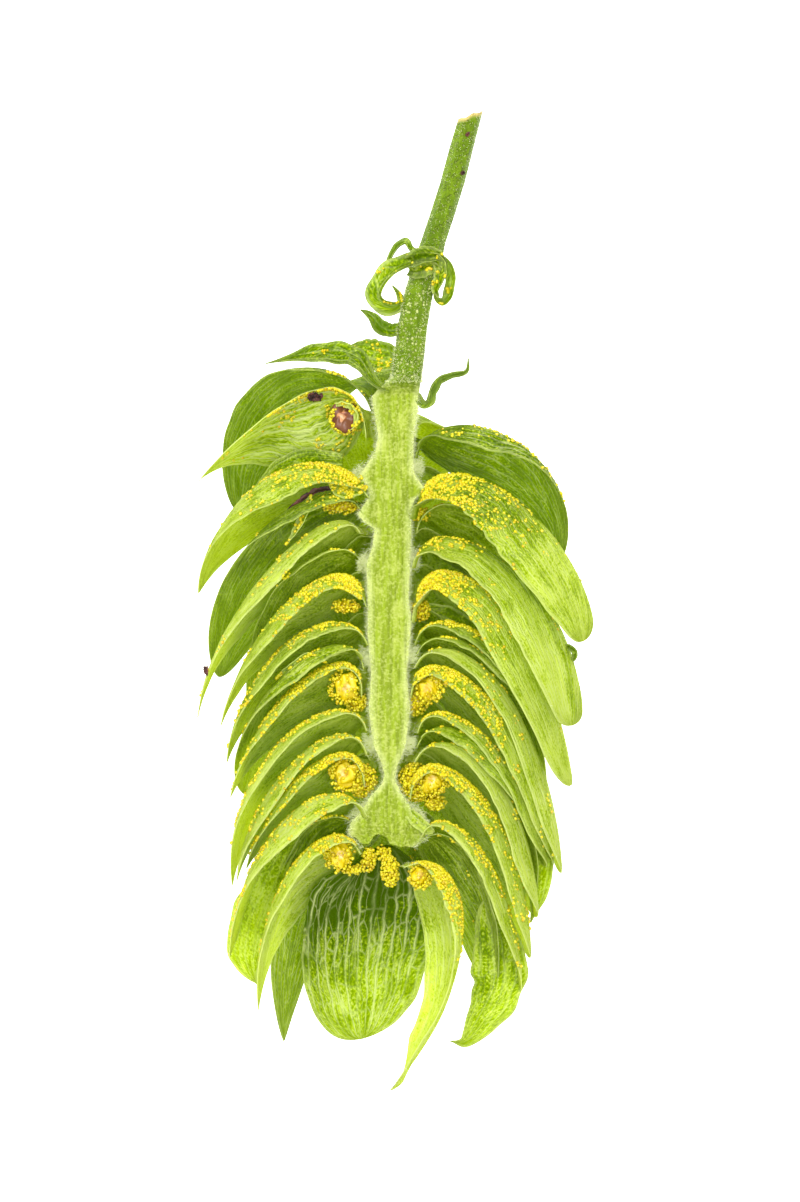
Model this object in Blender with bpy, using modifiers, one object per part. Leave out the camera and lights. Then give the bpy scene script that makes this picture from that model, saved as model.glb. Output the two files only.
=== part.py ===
"""A hop cone cut in half lengthwise, lying on its outer bracts with the cut face up.

+X is to the right of the cone, +Y runs from the tip of the cone to its stalk, +Z points out of the cut
face. Sizes below are in millimetres, in a frame whose origin is in the cut plane on the strig, the cone's
middle axis. PLACE moves everything so that the middle of the underside is at the world's origin.

Every bract of the cone is a leaf-shaped patch of one family of nested surfaces, so that no two of them
meet. A surface of the family is named by the height at which it leaves the strig. It is swept round the
strig by an angle: 0 degrees is to the right, 90 straight behind the cut plane, 180 to the left.
"""

import collections
import math

import bmesh
import bpy
import numpy as np

MM = 0.001
PLACE = (0.09, 0.075, 8.05)

BRACT_THICKNESS = 0.16
ROWS = 6
COLUMNS = 5
# The rows lie closer together towards the tip by this power, and the tip itself keeps this share of width.
ROW_SPACING = 1.25
TIP_WIDTH = 0.015
# A bract spans no more than this angle to either side of its middle, and where two outlines meet the corner
# is rounded by this much.
WIDEST_ANGLE = 0.9
SOFT_CORNER = 0.01
LINE_STEP = 0.01
# How evenly a bract's rows follow its line.
LINE_POWER = 1.15
# The spans over which a bract's cut edge lies inward (radians past the cut plane, and a power of the share of
# its length), its far edge hangs down (radians, share), its cut edge hangs near its foot (radians, and the
# middle and width of the place), and its tip bends sideways (share, power).
TWIST_SPAN = (-0.08, 0.32)
TWIST_POWER = 1.6
DROOP_SPAN = (0.0, 0.9)
DROOP_ROWS = (0.05, 0.5)
SKIRT_SPAN = (0.0, 0.45)
SKIRT_PLACE = (0.1, 0.17)
HOOK_ROWS = (0.6, 1.1)
HOOK_POWER = 1.5

# How far a bract's margins hang below its middle, and the radii between which that grows from nothing.
ARCH = 1.1
ARCH_RADII = (1.5, 4.0)

# Behind the cut plane the cone's depth is this share of its radius, at its top and at its lower end.
DEPTH_TOP = 0.87
DEPTH_LOW = 1.06
DEPTH_HEIGHTS = (2.0, -14.0)
# Past the first depth the outer bracts are pressed flat, and they rest on a surface at REST_DEPTH.
PRESSED_DEPTH = 7.2
PRESSED_RANGE = 1.2
REST_DEPTH = 8.05
SNAP_HEIGHT = 0.08
# In front of it the uncut margins lie over to this share, and past an angle from straight behind they fold
# down.
DEPTH_FRONT = 0.5
FRONT_ANGLE = 0.75 * math.pi
FRONT_FOLD = 2.0

# The line that the middle of a surface follows away from the strig, as a Bezier curve of four points
# (radius, height): where it leaves the strig, its rise, its fall, and its lowest end.
RIGHT_LINES = [
    ((1.6, 11.2), (3.6, 14.4), (11.6, 13.2), (11.6, 5.0)),
    ((1.5, 8.4), (2.8, 11.0), (9.7, 9.2), (9.9, 3.0)),
    ((1.6, 5.9), (3.2, 9.0), (10.2, 4.6), (11.25, -2.0)),
    ((1.5, 2.7), (3.0, 5.2), (10.2, 1.3), (10.5, -6.8)),
    ((1.4, 0.3), (2.4, 3.8), (8.6, -0.2), (9.9, -10.2)),
    ((1.5, -1.9), (3.0, 0.4), (8.4, -3.6), (9.3, -9.4)),
    ((1.6, -3.2), (3.4, -1.2), (8.6, -5.2), (9.3, -15.0)),
    ((1.2, -4.4), (2.2, -1.9), (8.2, -6.0), (8.8, -14.4)),
    ((1.6, -6.8), (2.8, -4.7), (7.6, -8.6), (8.5, -14.6)),
    ((1.6, -8.4), (3.4, -6.4), (7.6, -9.9), (8.0, -17.4)),
    ((1.1, -9.9), (2.0, -7.1), (7.4, -10.8), (7.6, -19.6)),
    ((1.9, -12.6), (3.2, -10.9), (6.8, -14.8), (7.1, -21.4)),
    ((1.6, -13.7), (4.0, -12.8), (6.2, -18.0), (4.6, -25.0)),
    ((1.3, -14.5), (4.3, -14.0), (5.4, -20.6), (-0.2, -27.0)),
]
LEFT_LINES = [
    ((1.6, 11.4), (4.0, 14.6), (11.4, 13.0), (11.1, 5.0)),
    ((1.6, 9.8), (2.4, 13.6), (6.6, 11.2), (10.7, 6.6)),
    ((1.9, 6.5), (4.0, 8.9), (9.4, 6.9), (10.9, 0.5)),
    ((2.2, 4.1), (3.9, 5.6), (10.0, -0.6), (10.8, -6.4)),
    ((1.8, 0.7), (3.2, 2.9), (7.9, -0.7), (9.5, -6.9)),
    ((1.7, -2.0), (3.2, 0.1), (8.2, -2.8), (9.2, -8.9)),
    ((1.8, -4.5), (2.2, -1.8), (7.3, -4.9), (9.0, -10.8)),
    ((1.7, -6.7), (3.0, -4.6), (9.1, -8.0), (9.0, -15.6)),
    ((1.7, -8.0), (3.0, -5.8), (8.0, -10.2), (8.6, -15.4)),
    ((1.7, -9.4), (2.3, -6.8), (6.6, -9.9), (8.1, -14.7)),
    ((1.9, -11.4), (3.4, -9.2), (8.2, -12.4), (9.1, -19.6)),
    ((2.1, -13.5), (3.6, -11.6), (7.6, -15.2), (7.5, -22.5)),
    ((1.7, -14.0), (3.6, -14.1), (6.4, -19.6), (5.2, -25.0)),
    ((1.5, -14.9), (3.2, -15.2), (5.0, -20.6), (3.6, -26.0)),
]

# How a bract narrows to its tip: two powers, from pointed to round.
SHARP = (1.5, 1.1)
POINTED = (1.8, 0.85)
BLUNT = (2.1, 0.62)
ROUND = (2.8, 0.5)

# What makes one bract: the height of its surface on the strig, its middle angle and half width, the share
# of the line that it runs along, how many degrees in front of the cut plane it is cut off, the powers of its
# tip, the width of its foot, where it is widest and how slowly it swells, how far its cut edge lies inward,
# its far edge hangs down, its cut edge hangs near its foot, and its tip bends sideways.
Bract = collections.namedtuple(
    "Bract",
    "height middle half_width run front tip foot peak swell twist droop skirt hook",
    defaults=(4.8, 1.0, 26.0, POINTED, 0.17, 0.38, 0.8, 0.0, 0.0, 0.0, 0.0),
)
BRACTS = {
    "bract_left_01": Bract(9.8, 178, half_width=5.6, front=1, droop=2.5),
    "bract_left_02": Bract(6.5, 170, half_width=6.4, front=34, twist=0.2, skirt=0.5),
    "bract_left_03": Bract(4.1, 174, half_width=4.6, front=22, tip=SHARP, foot=0.3, twist=0.3),
    "bract_left_04": Bract(0.7, 176, front=24, skirt=0.9),
    "bract_left_05": Bract(-2.0, 174, half_width=5.0, front=19, foot=0.34),
    "bract_left_06": Bract(-4.5, 174, front=17, skirt=0.4),
    "bract_left_07": Bract(-6.7, 170, half_width=5.0, front=17, foot=0.36, twist=0.2),
    "bract_left_08": Bract(-8.0, 176, half_width=4.4, front=18, foot=0.3, twist=0.3),
    "bract_left_09": Bract(-9.4, 174, half_width=4.6, front=17, skirt=0.5),
    "bract_left_10": Bract(-11.4, 172, front=30, foot=0.34),
    "bract_left_11": Bract(-13.5, 172, half_width=4.0, front=22),
    "bract_right_01": Bract(5.9, -12, half_width=5.4, front=46, tip=ROUND, twist=0.7, skirt=1.0),
    "bract_right_02": Bract(
        2.7, -8, half_width=5.4, front=36, tip=ROUND, foot=0.36, twist=1.0, skirt=0.5
    ),
    "bract_right_03": Bract(0.3, -2, half_width=5.0, front=36, tip=ROUND, twist=0.9, skirt=1.0),
    "bract_right_04": Bract(-1.9, 8, run=0.98, front=18, tip=ROUND, foot=0.34, twist=0.5),
    "bract_right_05": Bract(-3.2, 6, half_width=5.0, front=19, tip=ROUND, foot=0.34, twist=0.8),
    "bract_right_06": Bract(-4.4, 4, half_width=5.0, front=25, tip=ROUND, twist=0.5, skirt=0.5),
    "bract_right_07": Bract(-6.8, 6, front=17, tip=ROUND, twist=0.5),
    "bract_right_08": Bract(-8.4, 8, front=19, tip=ROUND, foot=0.34, twist=0.7),
    "bract_right_09": Bract(-10.0, 6, front=22, tip=ROUND, twist=0.4, skirt=0.5),
    "bract_right_10": Bract(-12.6, 8, half_width=4.3, front=21, tip=BLUNT, foot=0.36, twist=0.5),
    "bract_back_01": Bract(8.8, 76, half_width=5.0),
    "bract_back_02": Bract(6.9, 92, half_width=5.4),
    "bract_back_03": Bract(3.6, 88, half_width=5.4, run=0.84),
    "bract_back_04": Bract(1.4, 92, half_width=5.2, run=0.85),
    "bract_back_05": Bract(-1.0, 88, half_width=5.2, run=0.97),
    "bract_back_06": Bract(-5.4, 91, half_width=5.0),
    "bract_back_07": Bract(-8.9, 88),
    "bract_back_08": Bract(-11.9, 92, half_width=4.4),
    "bract_back_right_01": Bract(8.4, 20, half_width=5.4, front=42, tip=BLUNT, droop=0.8),
    "bract_back_right_02": Bract(4.4, 44, tip=BLUNT),
    "bract_back_right_03": Bract(-2.6, 38, half_width=5.4, tip=ROUND),
    "bract_back_right_04": Bract(-7.6, 26, half_width=5.2, tip=ROUND),
    "bract_back_right_05": Bract(-13.1, 26, half_width=4.6, run=0.94, front=2),
    "bract_back_left_01": Bract(11.2, 140, half_width=4.7, run=0.97, tip=BLUNT),
    "bract_back_left_02": Bract(5.3, 152, half_width=5.2, run=1.03, tip=BLUNT),
    "bract_back_left_03": Bract(2.4, 138),
    "bract_back_left_04": Bract(-3.3, 156, half_width=5.2, tip=ROUND),
    "bract_back_left_05": Bract(-12.5, 136, half_width=3.4, run=1.1, hook=-0.3),
    "bract_tip_wide": Bract(-13.7, 107, half_width=4.3, tip=ROUND, foot=0.03, peak=0.56, swell=2.4),
    "bract_tip_long": Bract(-14.5, 18, half_width=3.1, front=60, tip=BLUNT),
}

# Edges of the stem: height, left edge, right edge. The first eleven rows are the round stalk.
STEM_EDGES = [
    (26.9, 3.72, 4.95),
    (25.0, 3.15, 4.45),
    (23.0, 2.62, 3.95),
    (21.0, 1.98, 3.32),
    (19.6, 1.50, 2.86),
    (18.9, 1.22, 2.72),
    (18.2, 1.05, 2.55),
    (17.0, 0.66, 2.22),
    (15.0, 0.24, 1.88),
    (13.0, 0.03, 1.68),
    (12.0, -0.12, 1.55),
    (11.3, -0.80, 1.42),
    (10.6, -1.05, 1.34),
    (9.0, -0.85, 1.15),
    (8.0, -1.15, 1.12),
    (7.0, -1.60, 1.12),
    (6.4, -1.45, 1.30),
    (5.7, -1.35, 1.15),
    (4.7, -1.75, 1.02),
    (4.0, -1.20, 1.00),
    (2.0, -1.40, 0.96),
    (0.0, -1.38, 0.90),
    (-2.0, -1.36, 0.98),
    (-4.0, -1.22, 0.80),
    (-6.0, -1.32, 0.92),
    (-8.0, -1.08, 0.72),
    (-9.0, -0.66, 0.28),
    (-9.8, -0.50, 0.14),
    (-10.6, -0.98, 0.45),
    (-11.4, -1.50, 0.95),
    (-12.3, -1.75, 1.45),
    (-12.9, -1.40, 1.10),
]
STEM_SIDES = 12
STALK_DEPTH = 0.76
STRIG_DEPTH = 0.95
# The cut that lays the strig open runs out of the stalk between these heights.
CUT_RUNS_OUT = (11.2, 12.4)

# Cut ovaries and the seed: middle (x, y), and half its length along the bract.
OVARIES = {
    "seed": ((-2.7, 9.9), 0.72),
    "ovary_left_1": ((-2.62, -4.75), 0.62),
    "ovary_left_2": ((-2.6, -9.6), 0.62),
    "ovary_left_3": ((-2.95, -13.95), 0.6),
    "ovary_right_1": ((1.95, -4.8), 0.56),
    "ovary_right_2": ((2.2, -9.95), 0.55),
    "ovary_right_3": ((1.5, -15.15), 0.45),
}
OVARY_SPHERE = (10, 7)
OVARY_HEIGHT = -0.25

# Small blades at the stalk: route (x, y, z) from the stem to the tip, half width, and the lean of the
# blade's width from the cut plane towards +Z, in degrees.
BLADES = {
    "leaf_left_pointed": (
        [(-1.0, 11.9, 0.1), (-1.5, 12.9, 0.3), (-2.9, 13.45, 0.4), (-5.0, 13.5, 0.2), (-7.0, 13.0, -0.2)],
        0.72,
        25,
    ),
    "leaf_left_small": (
        [(-0.35, 13.1, -0.5), (-1.1, 13.4, -0.7), (-1.8, 13.7, -0.9), (-2.5, 13.9, -1.0)],
        0.62,
        20,
    ),
    "leaf_stalk": (
        [(-0.1, 14.7, 0.0), (-0.6, 14.9, 0.1), (-1.1, 15.3, 0.1), (-1.75, 15.95, 0.0)],
        0.42,
        35,
    ),
    "collar_curl_left": (
        [
            (0.75, 18.5, 0.2),
            (-0.3, 18.1, 0.4),
            (-0.95, 17.2, 0.5),
            (-1.1, 16.4, 0.5),
            (-0.4, 15.95, 0.4),
            (0.1, 16.25, 0.2),
        ],
        0.5,
        70,
    ),
    "collar_curl_top": (
        [(1.0, 19.3, 0.0), (0.6, 19.75, 0.2), (0.0, 19.4, 0.3), (-0.45, 18.75, 0.3)],
        0.3,
        75,
    ),
    "collar_curl_right": (
        [(2.95, 19.0, 0.2), (3.3, 18.2, 0.4), (3.25, 17.2, 0.5), (2.9, 16.4, 0.5), (2.6, 16.9, 0.4)],
        0.42,
        70,
    ),
    "curl_right_thin": (
        [(1.85, 10.75, 0.0), (2.3, 11.8, 0.3), (3.1, 12.4, 0.3), (4.05, 12.7, 0.1), (4.15, 13.35, 0.0)],
        0.3,
        55,
    ),
}
BLADE_THICKNESS = 0.14
BLADE_ROWS = 10
BLADE_COLUMNS = 3

COLORS = {
    "stem": (0.36, 0.46, 0.12),
    "bract": (0.30, 0.46, 0.06),
    "ovary": (0.72, 0.52, 0.08),
    "seed": (0.32, 0.14, 0.05),
    "leaf": (0.14, 0.28, 0.02),
    "collar": (0.22, 0.36, 0.05),
    "curl": (0.22, 0.36, 0.05),
}
ROUGHNESS = 0.6


def clear_scene():
    for item in list(bpy.data.objects):
        bpy.data.objects.remove(item, do_unlink=True)


def make_material(name):
    color = COLORS[name.split("_")[0]]
    material = bpy.data.materials.new(name)
    material.use_nodes = True
    shader = material.node_tree.nodes["Principled BSDF"]
    shader.inputs["Base Color"].default_value = (*color, 1.0)
    shader.inputs["Roughness"].default_value = ROUGHNESS
    shader.inputs["Metallic"].default_value = 0.0
    return material


def smooth_step(value, start, end):
    """0 before start, 1 past end, and a smooth S between them."""
    share = np.clip((value - start) / (end - start), 0.0, 1.0)
    return share * share * (3.0 - 2.0 * share)


def line_at(lines, height):
    """The four Bezier points of the surface that leaves the strig at height."""
    points = np.array(lines)[::-1]
    heights = points[:, 0, 1]
    flat = points.reshape(len(points), -1)
    mixed = [np.interp(height, heights, column) for column in flat.T]
    return np.array(mixed).reshape(4, 2)


def cone_point(height, along, angle):
    """Points of one nested surface, for arrays of the share along its line and the angle in radians."""
    along = np.asarray(along, float)
    rest = 1.0 - along
    weights = np.stack([rest**3, 3 * along * rest**2, 3 * along**2 * rest, along**3], -1)
    right = weights @ line_at(RIGHT_LINES, height)
    left = weights @ line_at(LEFT_LINES, height)
    left_share = (0.5 - 0.5 * np.cos(np.clip(angle, 0.0, math.pi)))[..., None]
    radius, y = np.moveaxis((1.0 - left_share) * right + left_share * left, -1, 0)
    past_front = np.maximum(0.0, np.abs(angle - math.pi / 2) - FRONT_ANGLE)
    fold = np.where(past_front > 0.0, 1.0 + (FRONT_FOLD * past_front) ** 2, np.sin(2.0 * angle) ** 2)
    y = y - ARCH * fold * smooth_step(radius, *ARCH_RADII)
    share = DEPTH_TOP + (DEPTH_LOW - DEPTH_TOP) * smooth_step(y, *DEPTH_HEIGHTS)
    depth = radius * np.sin(angle) * np.where(np.sin(angle) > 0.0, share, DEPTH_FRONT)
    past = np.maximum(0.0, depth - PRESSED_DEPTH)
    depth = np.minimum(depth, PRESSED_DEPTH + PRESSED_RANGE * np.tanh(past / PRESSED_RANGE))
    depth = np.minimum(depth, REST_DEPTH - BRACT_THICKNESS / 2.0)
    return np.stack([radius * np.cos(angle), y, -depth], -1)


def leaf_width(share, bract):
    """Half width of a bract along its length, as a share of its greatest: it swells from its foot to its
    widest place, then narrows to its tip by the two powers."""
    swell = np.sin(0.5 * math.pi * np.minimum(share / bract.peak, 1.0)) ** bract.swell
    fall = np.clip((share - bract.peak) / (1.0 - bract.peak), 0.0, 1.0)
    first, second = bract.tip
    return TIP_WIDTH + (bract.foot + (1.0 - bract.foot) * swell) * (1.0 - fall**first) ** second


def soft_least(first, second):
    """The smaller of two arrays of angles, with the corner between them rounded."""
    return 0.5 * (first + second - np.sqrt((first - second) ** 2 + SOFT_CORNER))


def outward_in_view(height, along, side):
    """The unit direction, across the cut plane, in which the surface's cut line faces away from the strig."""
    line = cone_point(height, along, np.full_like(along, side))[..., :2]
    ahead = cone_point(height, along + LINE_STEP, np.full_like(along, side))[..., :2]
    heading = ahead - line
    outward = heading[..., ::-1] * ((1.0, -1.0) if side > 0.0 else (-1.0, 1.0))
    return outward / np.linalg.norm(outward, axis=-1, keepdims=True)


def bract_point(row, column, bract):
    """A point of a bract, for row from 0 at the strig to 1 at the tip and column from -1 to 1."""
    row = 1.0 - (1.0 - row) ** ROW_SPACING
    along = bract.run * row**LINE_POWER
    middle = np.full_like(row, math.radians(bract.middle))
    spine = cone_point(bract.height, along, middle)
    radius = np.hypot(spine[..., 0], spine[..., 2])
    half_angle = np.minimum(bract.half_width * leaf_width(row, bract) / radius, WIDEST_ANGLE)
    low = middle - half_angle
    high = middle + half_angle
    limit = math.radians(bract.front)
    if bract.middle > 90:
        high = soft_least(high, math.pi + limit)
    else:
        low = -soft_least(-low, limit)
    angle = low + (column + 1.0) / 2.0 * (high - low)
    points = cone_point(bract.height, along, angle)
    past = angle - math.pi if bract.middle > 90 else -angle
    side = math.pi if bract.middle > 90 else 0.0
    shift = bract.twist * smooth_step(past, *TWIST_SPAN) * row**TWIST_POWER
    points[..., :2] -= outward_in_view(bract.height, along, side) * shift[..., None]
    near_foot = np.exp(-(((row - SKIRT_PLACE[0]) / SKIRT_PLACE[1]) ** 2))
    points[..., 1] -= bract.droop * smooth_step(-past, *DROOP_SPAN) * smooth_step(row, *DROOP_ROWS)
    points[..., 1] -= bract.skirt * smooth_step(past, *SKIRT_SPAN) * near_foot
    points[..., 0] += bract.hook * smooth_step(row, *HOOK_ROWS) ** HOOK_POWER
    return points


def smooth_route(points, share):
    """A smooth curve through the points (Catmull-Rom), read at an array of shares from 0 to 1."""
    points = np.array(points, float)
    ends = np.vstack([2 * points[0] - points[1], points, 2 * points[-1] - points[-2]])
    place = np.clip(share, 0.0, 1.0) * (len(points) - 1)
    step = np.minimum(place.astype(int), len(points) - 2)
    t = (place - step)[..., None]
    before, start, end, after = (ends[step + offset] for offset in range(4))
    return 0.5 * (
        2 * start
        + (end - before) * t
        + (2 * before - 5 * start + 4 * end - after) * t**2
        + (3 * start - before - 3 * end + after) * t**3
    )


def blade_point(row, column, spec):
    """A point of a small blade: its route, and across it a straight width that leans out of the plane."""
    route, half_width, lean = spec
    step = 0.01
    spine = smooth_route(route, row)
    heading = smooth_route(route, row + step) - smooth_route(route, row - step)
    heading /= np.linalg.norm(heading, axis=-1, keepdims=True)
    lean = math.radians(lean)
    side = np.stack([-heading[..., 1], heading[..., 0], np.zeros_like(row)], -1) * math.cos(lean)
    side[..., 2] += math.sin(lean)
    width = half_width * (0.35 + 0.65 * np.sin(math.pi * row**0.9)) * (1.0 - row**5) + 0.03
    return spine + side * (column * width)[..., None]


def stem_point(row, column):
    """A point of the stem, for row from 0 at the cut top of the stalk and column from -1 to 1 around."""
    place = row * (len(STEM_EDGES) - 1)
    ranks = np.arange(len(STEM_EDGES))
    y, left, right = (np.interp(place, ranks, edge) for edge in np.array(STEM_EDGES).T)
    turn = math.pi * column
    opened = smooth_step(y, CUT_RUNS_OUT[1], CUT_RUNS_OUT[0])
    depth = STALK_DEPTH + (STRIG_DEPTH - STALK_DEPTH) * opened
    x = (left + right) / 2.0 + (right - left) / 2.0 * np.cos(turn)
    z = np.minimum(depth * np.sin(turn), STALK_DEPTH * (1.0 - opened))
    return np.stack([x, y, z], -1)


def mapped_grid(rows, columns, function):
    """A grid whose points are moved to function(row, column)."""
    grid = bmesh.new()
    bmesh.ops.create_grid(grid, x_segments=rows, y_segments=columns, size=1.0)
    places = np.array([vertex.co for vertex in grid.verts])
    points = (function((places[:, 0] + 1.0) / 2.0, places[:, 1]) + np.array(PLACE)) * MM
    for vertex, point in zip(grid.verts, points):
        vertex.co = point
    return grid


def add_object(name, grid, collection):
    mesh = bpy.data.meshes.new(name)
    bmesh.ops.recalc_face_normals(grid, faces=grid.faces)
    grid.to_mesh(mesh)
    grid.free()
    mesh.shade_smooth()
    mesh.materials.append(make_material(name))
    item = bpy.data.objects.new(name, mesh)
    collection.objects.link(item)
    return item


def add_shell(item, thickness):
    shell = item.modifiers.new("thickness", "SOLIDIFY")
    shell.thickness = thickness * MM
    shell.offset = 0.0
    shell.use_even_offset = True


def flatten_rest(item):
    """Applies the shell, and puts the points that all but touch the surface below exactly on it."""
    graph = bpy.context.evaluated_depsgraph_get()
    mesh = bpy.data.meshes.new_from_object(item.evaluated_get(graph))
    for vertex in mesh.vertices:
        if vertex.co.z < SNAP_HEIGHT * MM:
            vertex.co.z = 0.0
    item.modifiers.clear()
    item.data = mesh


def add_bracts(collection):
    for name, spec in BRACTS.items():
        grid = mapped_grid(ROWS, COLUMNS, lambda row, column: bract_point(row, column, spec))
        item = add_object(name, grid, collection)
        add_shell(item, BRACT_THICKNESS)
        flatten_rest(item)


def add_blades(collection):
    for name, spec in BLADES.items():
        grid = mapped_grid(BLADE_ROWS, BLADE_COLUMNS, lambda row, column: blade_point(row, column, spec))
        add_shell(add_object(name, grid, collection), BLADE_THICKNESS)


def add_stem(collection):
    grid = mapped_grid(len(STEM_EDGES) - 1, STEM_SIDES, stem_point)
    bmesh.ops.remove_doubles(grid, verts=grid.verts, dist=0.01 * MM)
    rims = [edge for edge in grid.edges if edge.is_boundary]
    bmesh.ops.holes_fill(grid, edges=rims, sides=0)
    add_object("stem", grid, collection)


def add_ovaries(collection):
    for name, ((x, y), half_length) in OVARIES.items():
        ball = bmesh.new()
        bmesh.ops.create_uvsphere(
            ball,
            u_segments=OVARY_SPHERE[0],
            v_segments=OVARY_SPHERE[1],
            radius=half_length * MM,
        )
        item = add_object(name, ball, collection)
        item.location = [(value + shift) * MM for value, shift in zip((x, y, OVARY_HEIGHT), PLACE)]


def main():
    clear_scene()
    collection = bpy.data.collections.new("halved_hop_cone")
    bpy.context.scene.collection.children.link(collection)
    add_stem(collection)
    add_bracts(collection)
    add_blades(collection)
    add_ovaries(collection)


if __name__ == "__main__":
    main()
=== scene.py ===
"""The looks of a hop cone cut in half lengthwise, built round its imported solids.

The cone's own frame is in millimetres: its origin is in the cut plane on the strig, the cone's middle axis,
+X is to the right, +Y towards the stalk and +Z out of the cut face. PLACE takes it to the world's frame.

Every bract is a leaf-shaped patch of one family of nested surfaces, named by the height at which it leaves
the strig and swept round the strig by an angle: 0 degrees to the right, 90 behind, 180 to the left.
"""

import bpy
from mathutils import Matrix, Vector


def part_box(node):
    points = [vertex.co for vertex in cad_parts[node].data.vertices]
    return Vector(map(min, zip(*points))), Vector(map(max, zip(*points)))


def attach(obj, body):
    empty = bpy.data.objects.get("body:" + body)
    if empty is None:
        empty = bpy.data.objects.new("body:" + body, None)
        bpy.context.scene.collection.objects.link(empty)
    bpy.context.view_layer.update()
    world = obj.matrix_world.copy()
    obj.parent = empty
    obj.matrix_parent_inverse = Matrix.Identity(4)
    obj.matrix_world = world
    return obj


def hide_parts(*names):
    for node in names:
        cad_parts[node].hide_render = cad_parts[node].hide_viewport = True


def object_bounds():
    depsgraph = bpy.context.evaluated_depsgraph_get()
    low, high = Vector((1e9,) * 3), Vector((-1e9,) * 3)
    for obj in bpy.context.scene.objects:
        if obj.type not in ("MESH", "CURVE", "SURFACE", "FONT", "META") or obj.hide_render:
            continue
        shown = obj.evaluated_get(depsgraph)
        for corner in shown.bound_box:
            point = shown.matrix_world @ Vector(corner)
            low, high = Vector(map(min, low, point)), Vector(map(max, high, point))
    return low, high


bl_info = {
    "name": "Halved Hop Cone",
    "version": (1, 0, 0),
    "blender": (4, 5, 0),
    "location": "3D View > Sidebar > Hop",
    "description": "Builds the bracts, strig, glands and hairs of a halved hop cone",
    "category": "Add Mesh",
}

import collections
import functools
import math

import bpy
import numpy as np

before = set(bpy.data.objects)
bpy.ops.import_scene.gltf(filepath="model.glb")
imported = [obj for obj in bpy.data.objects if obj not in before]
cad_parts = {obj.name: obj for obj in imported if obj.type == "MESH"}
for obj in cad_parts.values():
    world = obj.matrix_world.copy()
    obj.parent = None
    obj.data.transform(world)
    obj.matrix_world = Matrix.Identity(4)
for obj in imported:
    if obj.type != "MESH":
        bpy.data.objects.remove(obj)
CAD_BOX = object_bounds()

MM = 0.001
# The highest corner of the stem's solid, in the cone's own frame.
STEM_CORNER = (4.95, 26.9, 0.76)
PLACE = np.array(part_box("stem")[1]) / MM - np.array(STEM_CORNER)
# The height of the cut plane above the floor, which is how deep the outer bracts may reach.
FLOOR_DEPTH = PLACE[2] - CAD_BOX[0][2] / MM

# ---------------------------------------------------------------- shapes of the solids, repeated

ARCH = 1.1
ARCH_RADII = (1.5, 4.0)
DEPTH_TOP = 0.87
DEPTH_LOW = 1.06
DEPTH_HEIGHTS = (2.0, -14.0)
PRESSED_DEPTH = 7.2
PRESSED_RANGE = 1.2
DEPTH_FRONT = 0.5
# Past this angle from straight behind, a bract's margin folds down in front of the cut plane.
FRONT_ANGLE = 0.75 * math.pi
FRONT_FOLD = 2.0

# The Bezier curve that the middle of a surface follows away from the strig: four points (radius, height).
RIGHT_LINES = [
    ((1.6, 11.2), (3.6, 14.4), (11.6, 13.2), (11.6, 5.0)),
    ((1.5, 8.4), (2.8, 11.0), (9.7, 9.2), (9.9, 3.0)),
    ((1.6, 5.9), (3.2, 9.0), (10.2, 4.6), (11.25, -2.0)),
    ((1.5, 2.7), (3.0, 5.2), (10.2, 1.3), (10.5, -6.8)),
    ((1.4, 0.3), (2.4, 3.8), (8.6, -0.2), (9.9, -10.2)),
    ((1.5, -1.9), (3.0, 0.4), (8.4, -3.6), (9.3, -9.4)),
    ((1.6, -3.2), (3.4, -1.2), (8.6, -5.2), (9.3, -15.0)),
    ((1.2, -4.4), (2.2, -1.9), (8.2, -6.0), (8.8, -14.4)),
    ((1.6, -6.8), (2.8, -4.7), (7.6, -8.6), (8.5, -14.6)),
    ((1.6, -8.4), (3.4, -6.4), (7.6, -9.9), (8.0, -17.4)),
    ((1.1, -9.9), (2.0, -7.1), (7.4, -10.8), (7.6, -19.6)),
    ((1.9, -12.6), (3.2, -10.9), (6.8, -14.8), (7.1, -21.4)),
    ((1.6, -13.7), (4.0, -12.8), (6.2, -18.0), (4.6, -25.0)),
    ((1.3, -14.5), (4.3, -14.0), (5.4, -20.6), (-0.2, -27.0)),
]
LEFT_LINES = [
    ((1.6, 11.4), (4.0, 14.6), (11.4, 13.0), (11.1, 5.0)),
    ((1.6, 9.8), (2.4, 13.6), (6.6, 11.2), (10.7, 6.6)),
    ((1.9, 6.5), (4.0, 8.9), (9.4, 6.9), (10.9, 0.5)),
    ((2.2, 4.1), (3.9, 5.6), (10.0, -0.6), (10.8, -6.4)),
    ((1.8, 0.7), (3.2, 2.9), (7.9, -0.7), (9.5, -6.9)),
    ((1.7, -2.0), (3.2, 0.1), (8.2, -2.8), (9.2, -8.9)),
    ((1.8, -4.5), (2.2, -1.8), (7.3, -4.9), (9.0, -10.8)),
    ((1.7, -6.7), (3.0, -4.6), (9.1, -8.0), (9.0, -15.6)),
    ((1.7, -8.0), (3.0, -5.8), (8.0, -10.2), (8.6, -15.4)),
    ((1.7, -9.4), (2.3, -6.8), (6.6, -9.9), (8.1, -14.7)),
    ((1.9, -11.4), (3.4, -9.2), (8.2, -12.4), (9.1, -19.6)),
    ((2.1, -13.5), (3.6, -11.6), (7.6, -15.2), (7.5, -22.5)),
    ((1.7, -14.0), (3.6, -14.1), (6.4, -19.6), (5.2, -25.0)),
    ((1.5, -14.9), (3.2, -15.2), (5.0, -20.6), (3.6, -26.0)),
]

# How a bract narrows to its tip: two powers, from pointed to round.
SHARP = (1.5, 1.1)
POINTED = (1.8, 0.85)
BLUNT = (2.1, 0.62)
ROUND = (2.8, 0.5)

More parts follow.
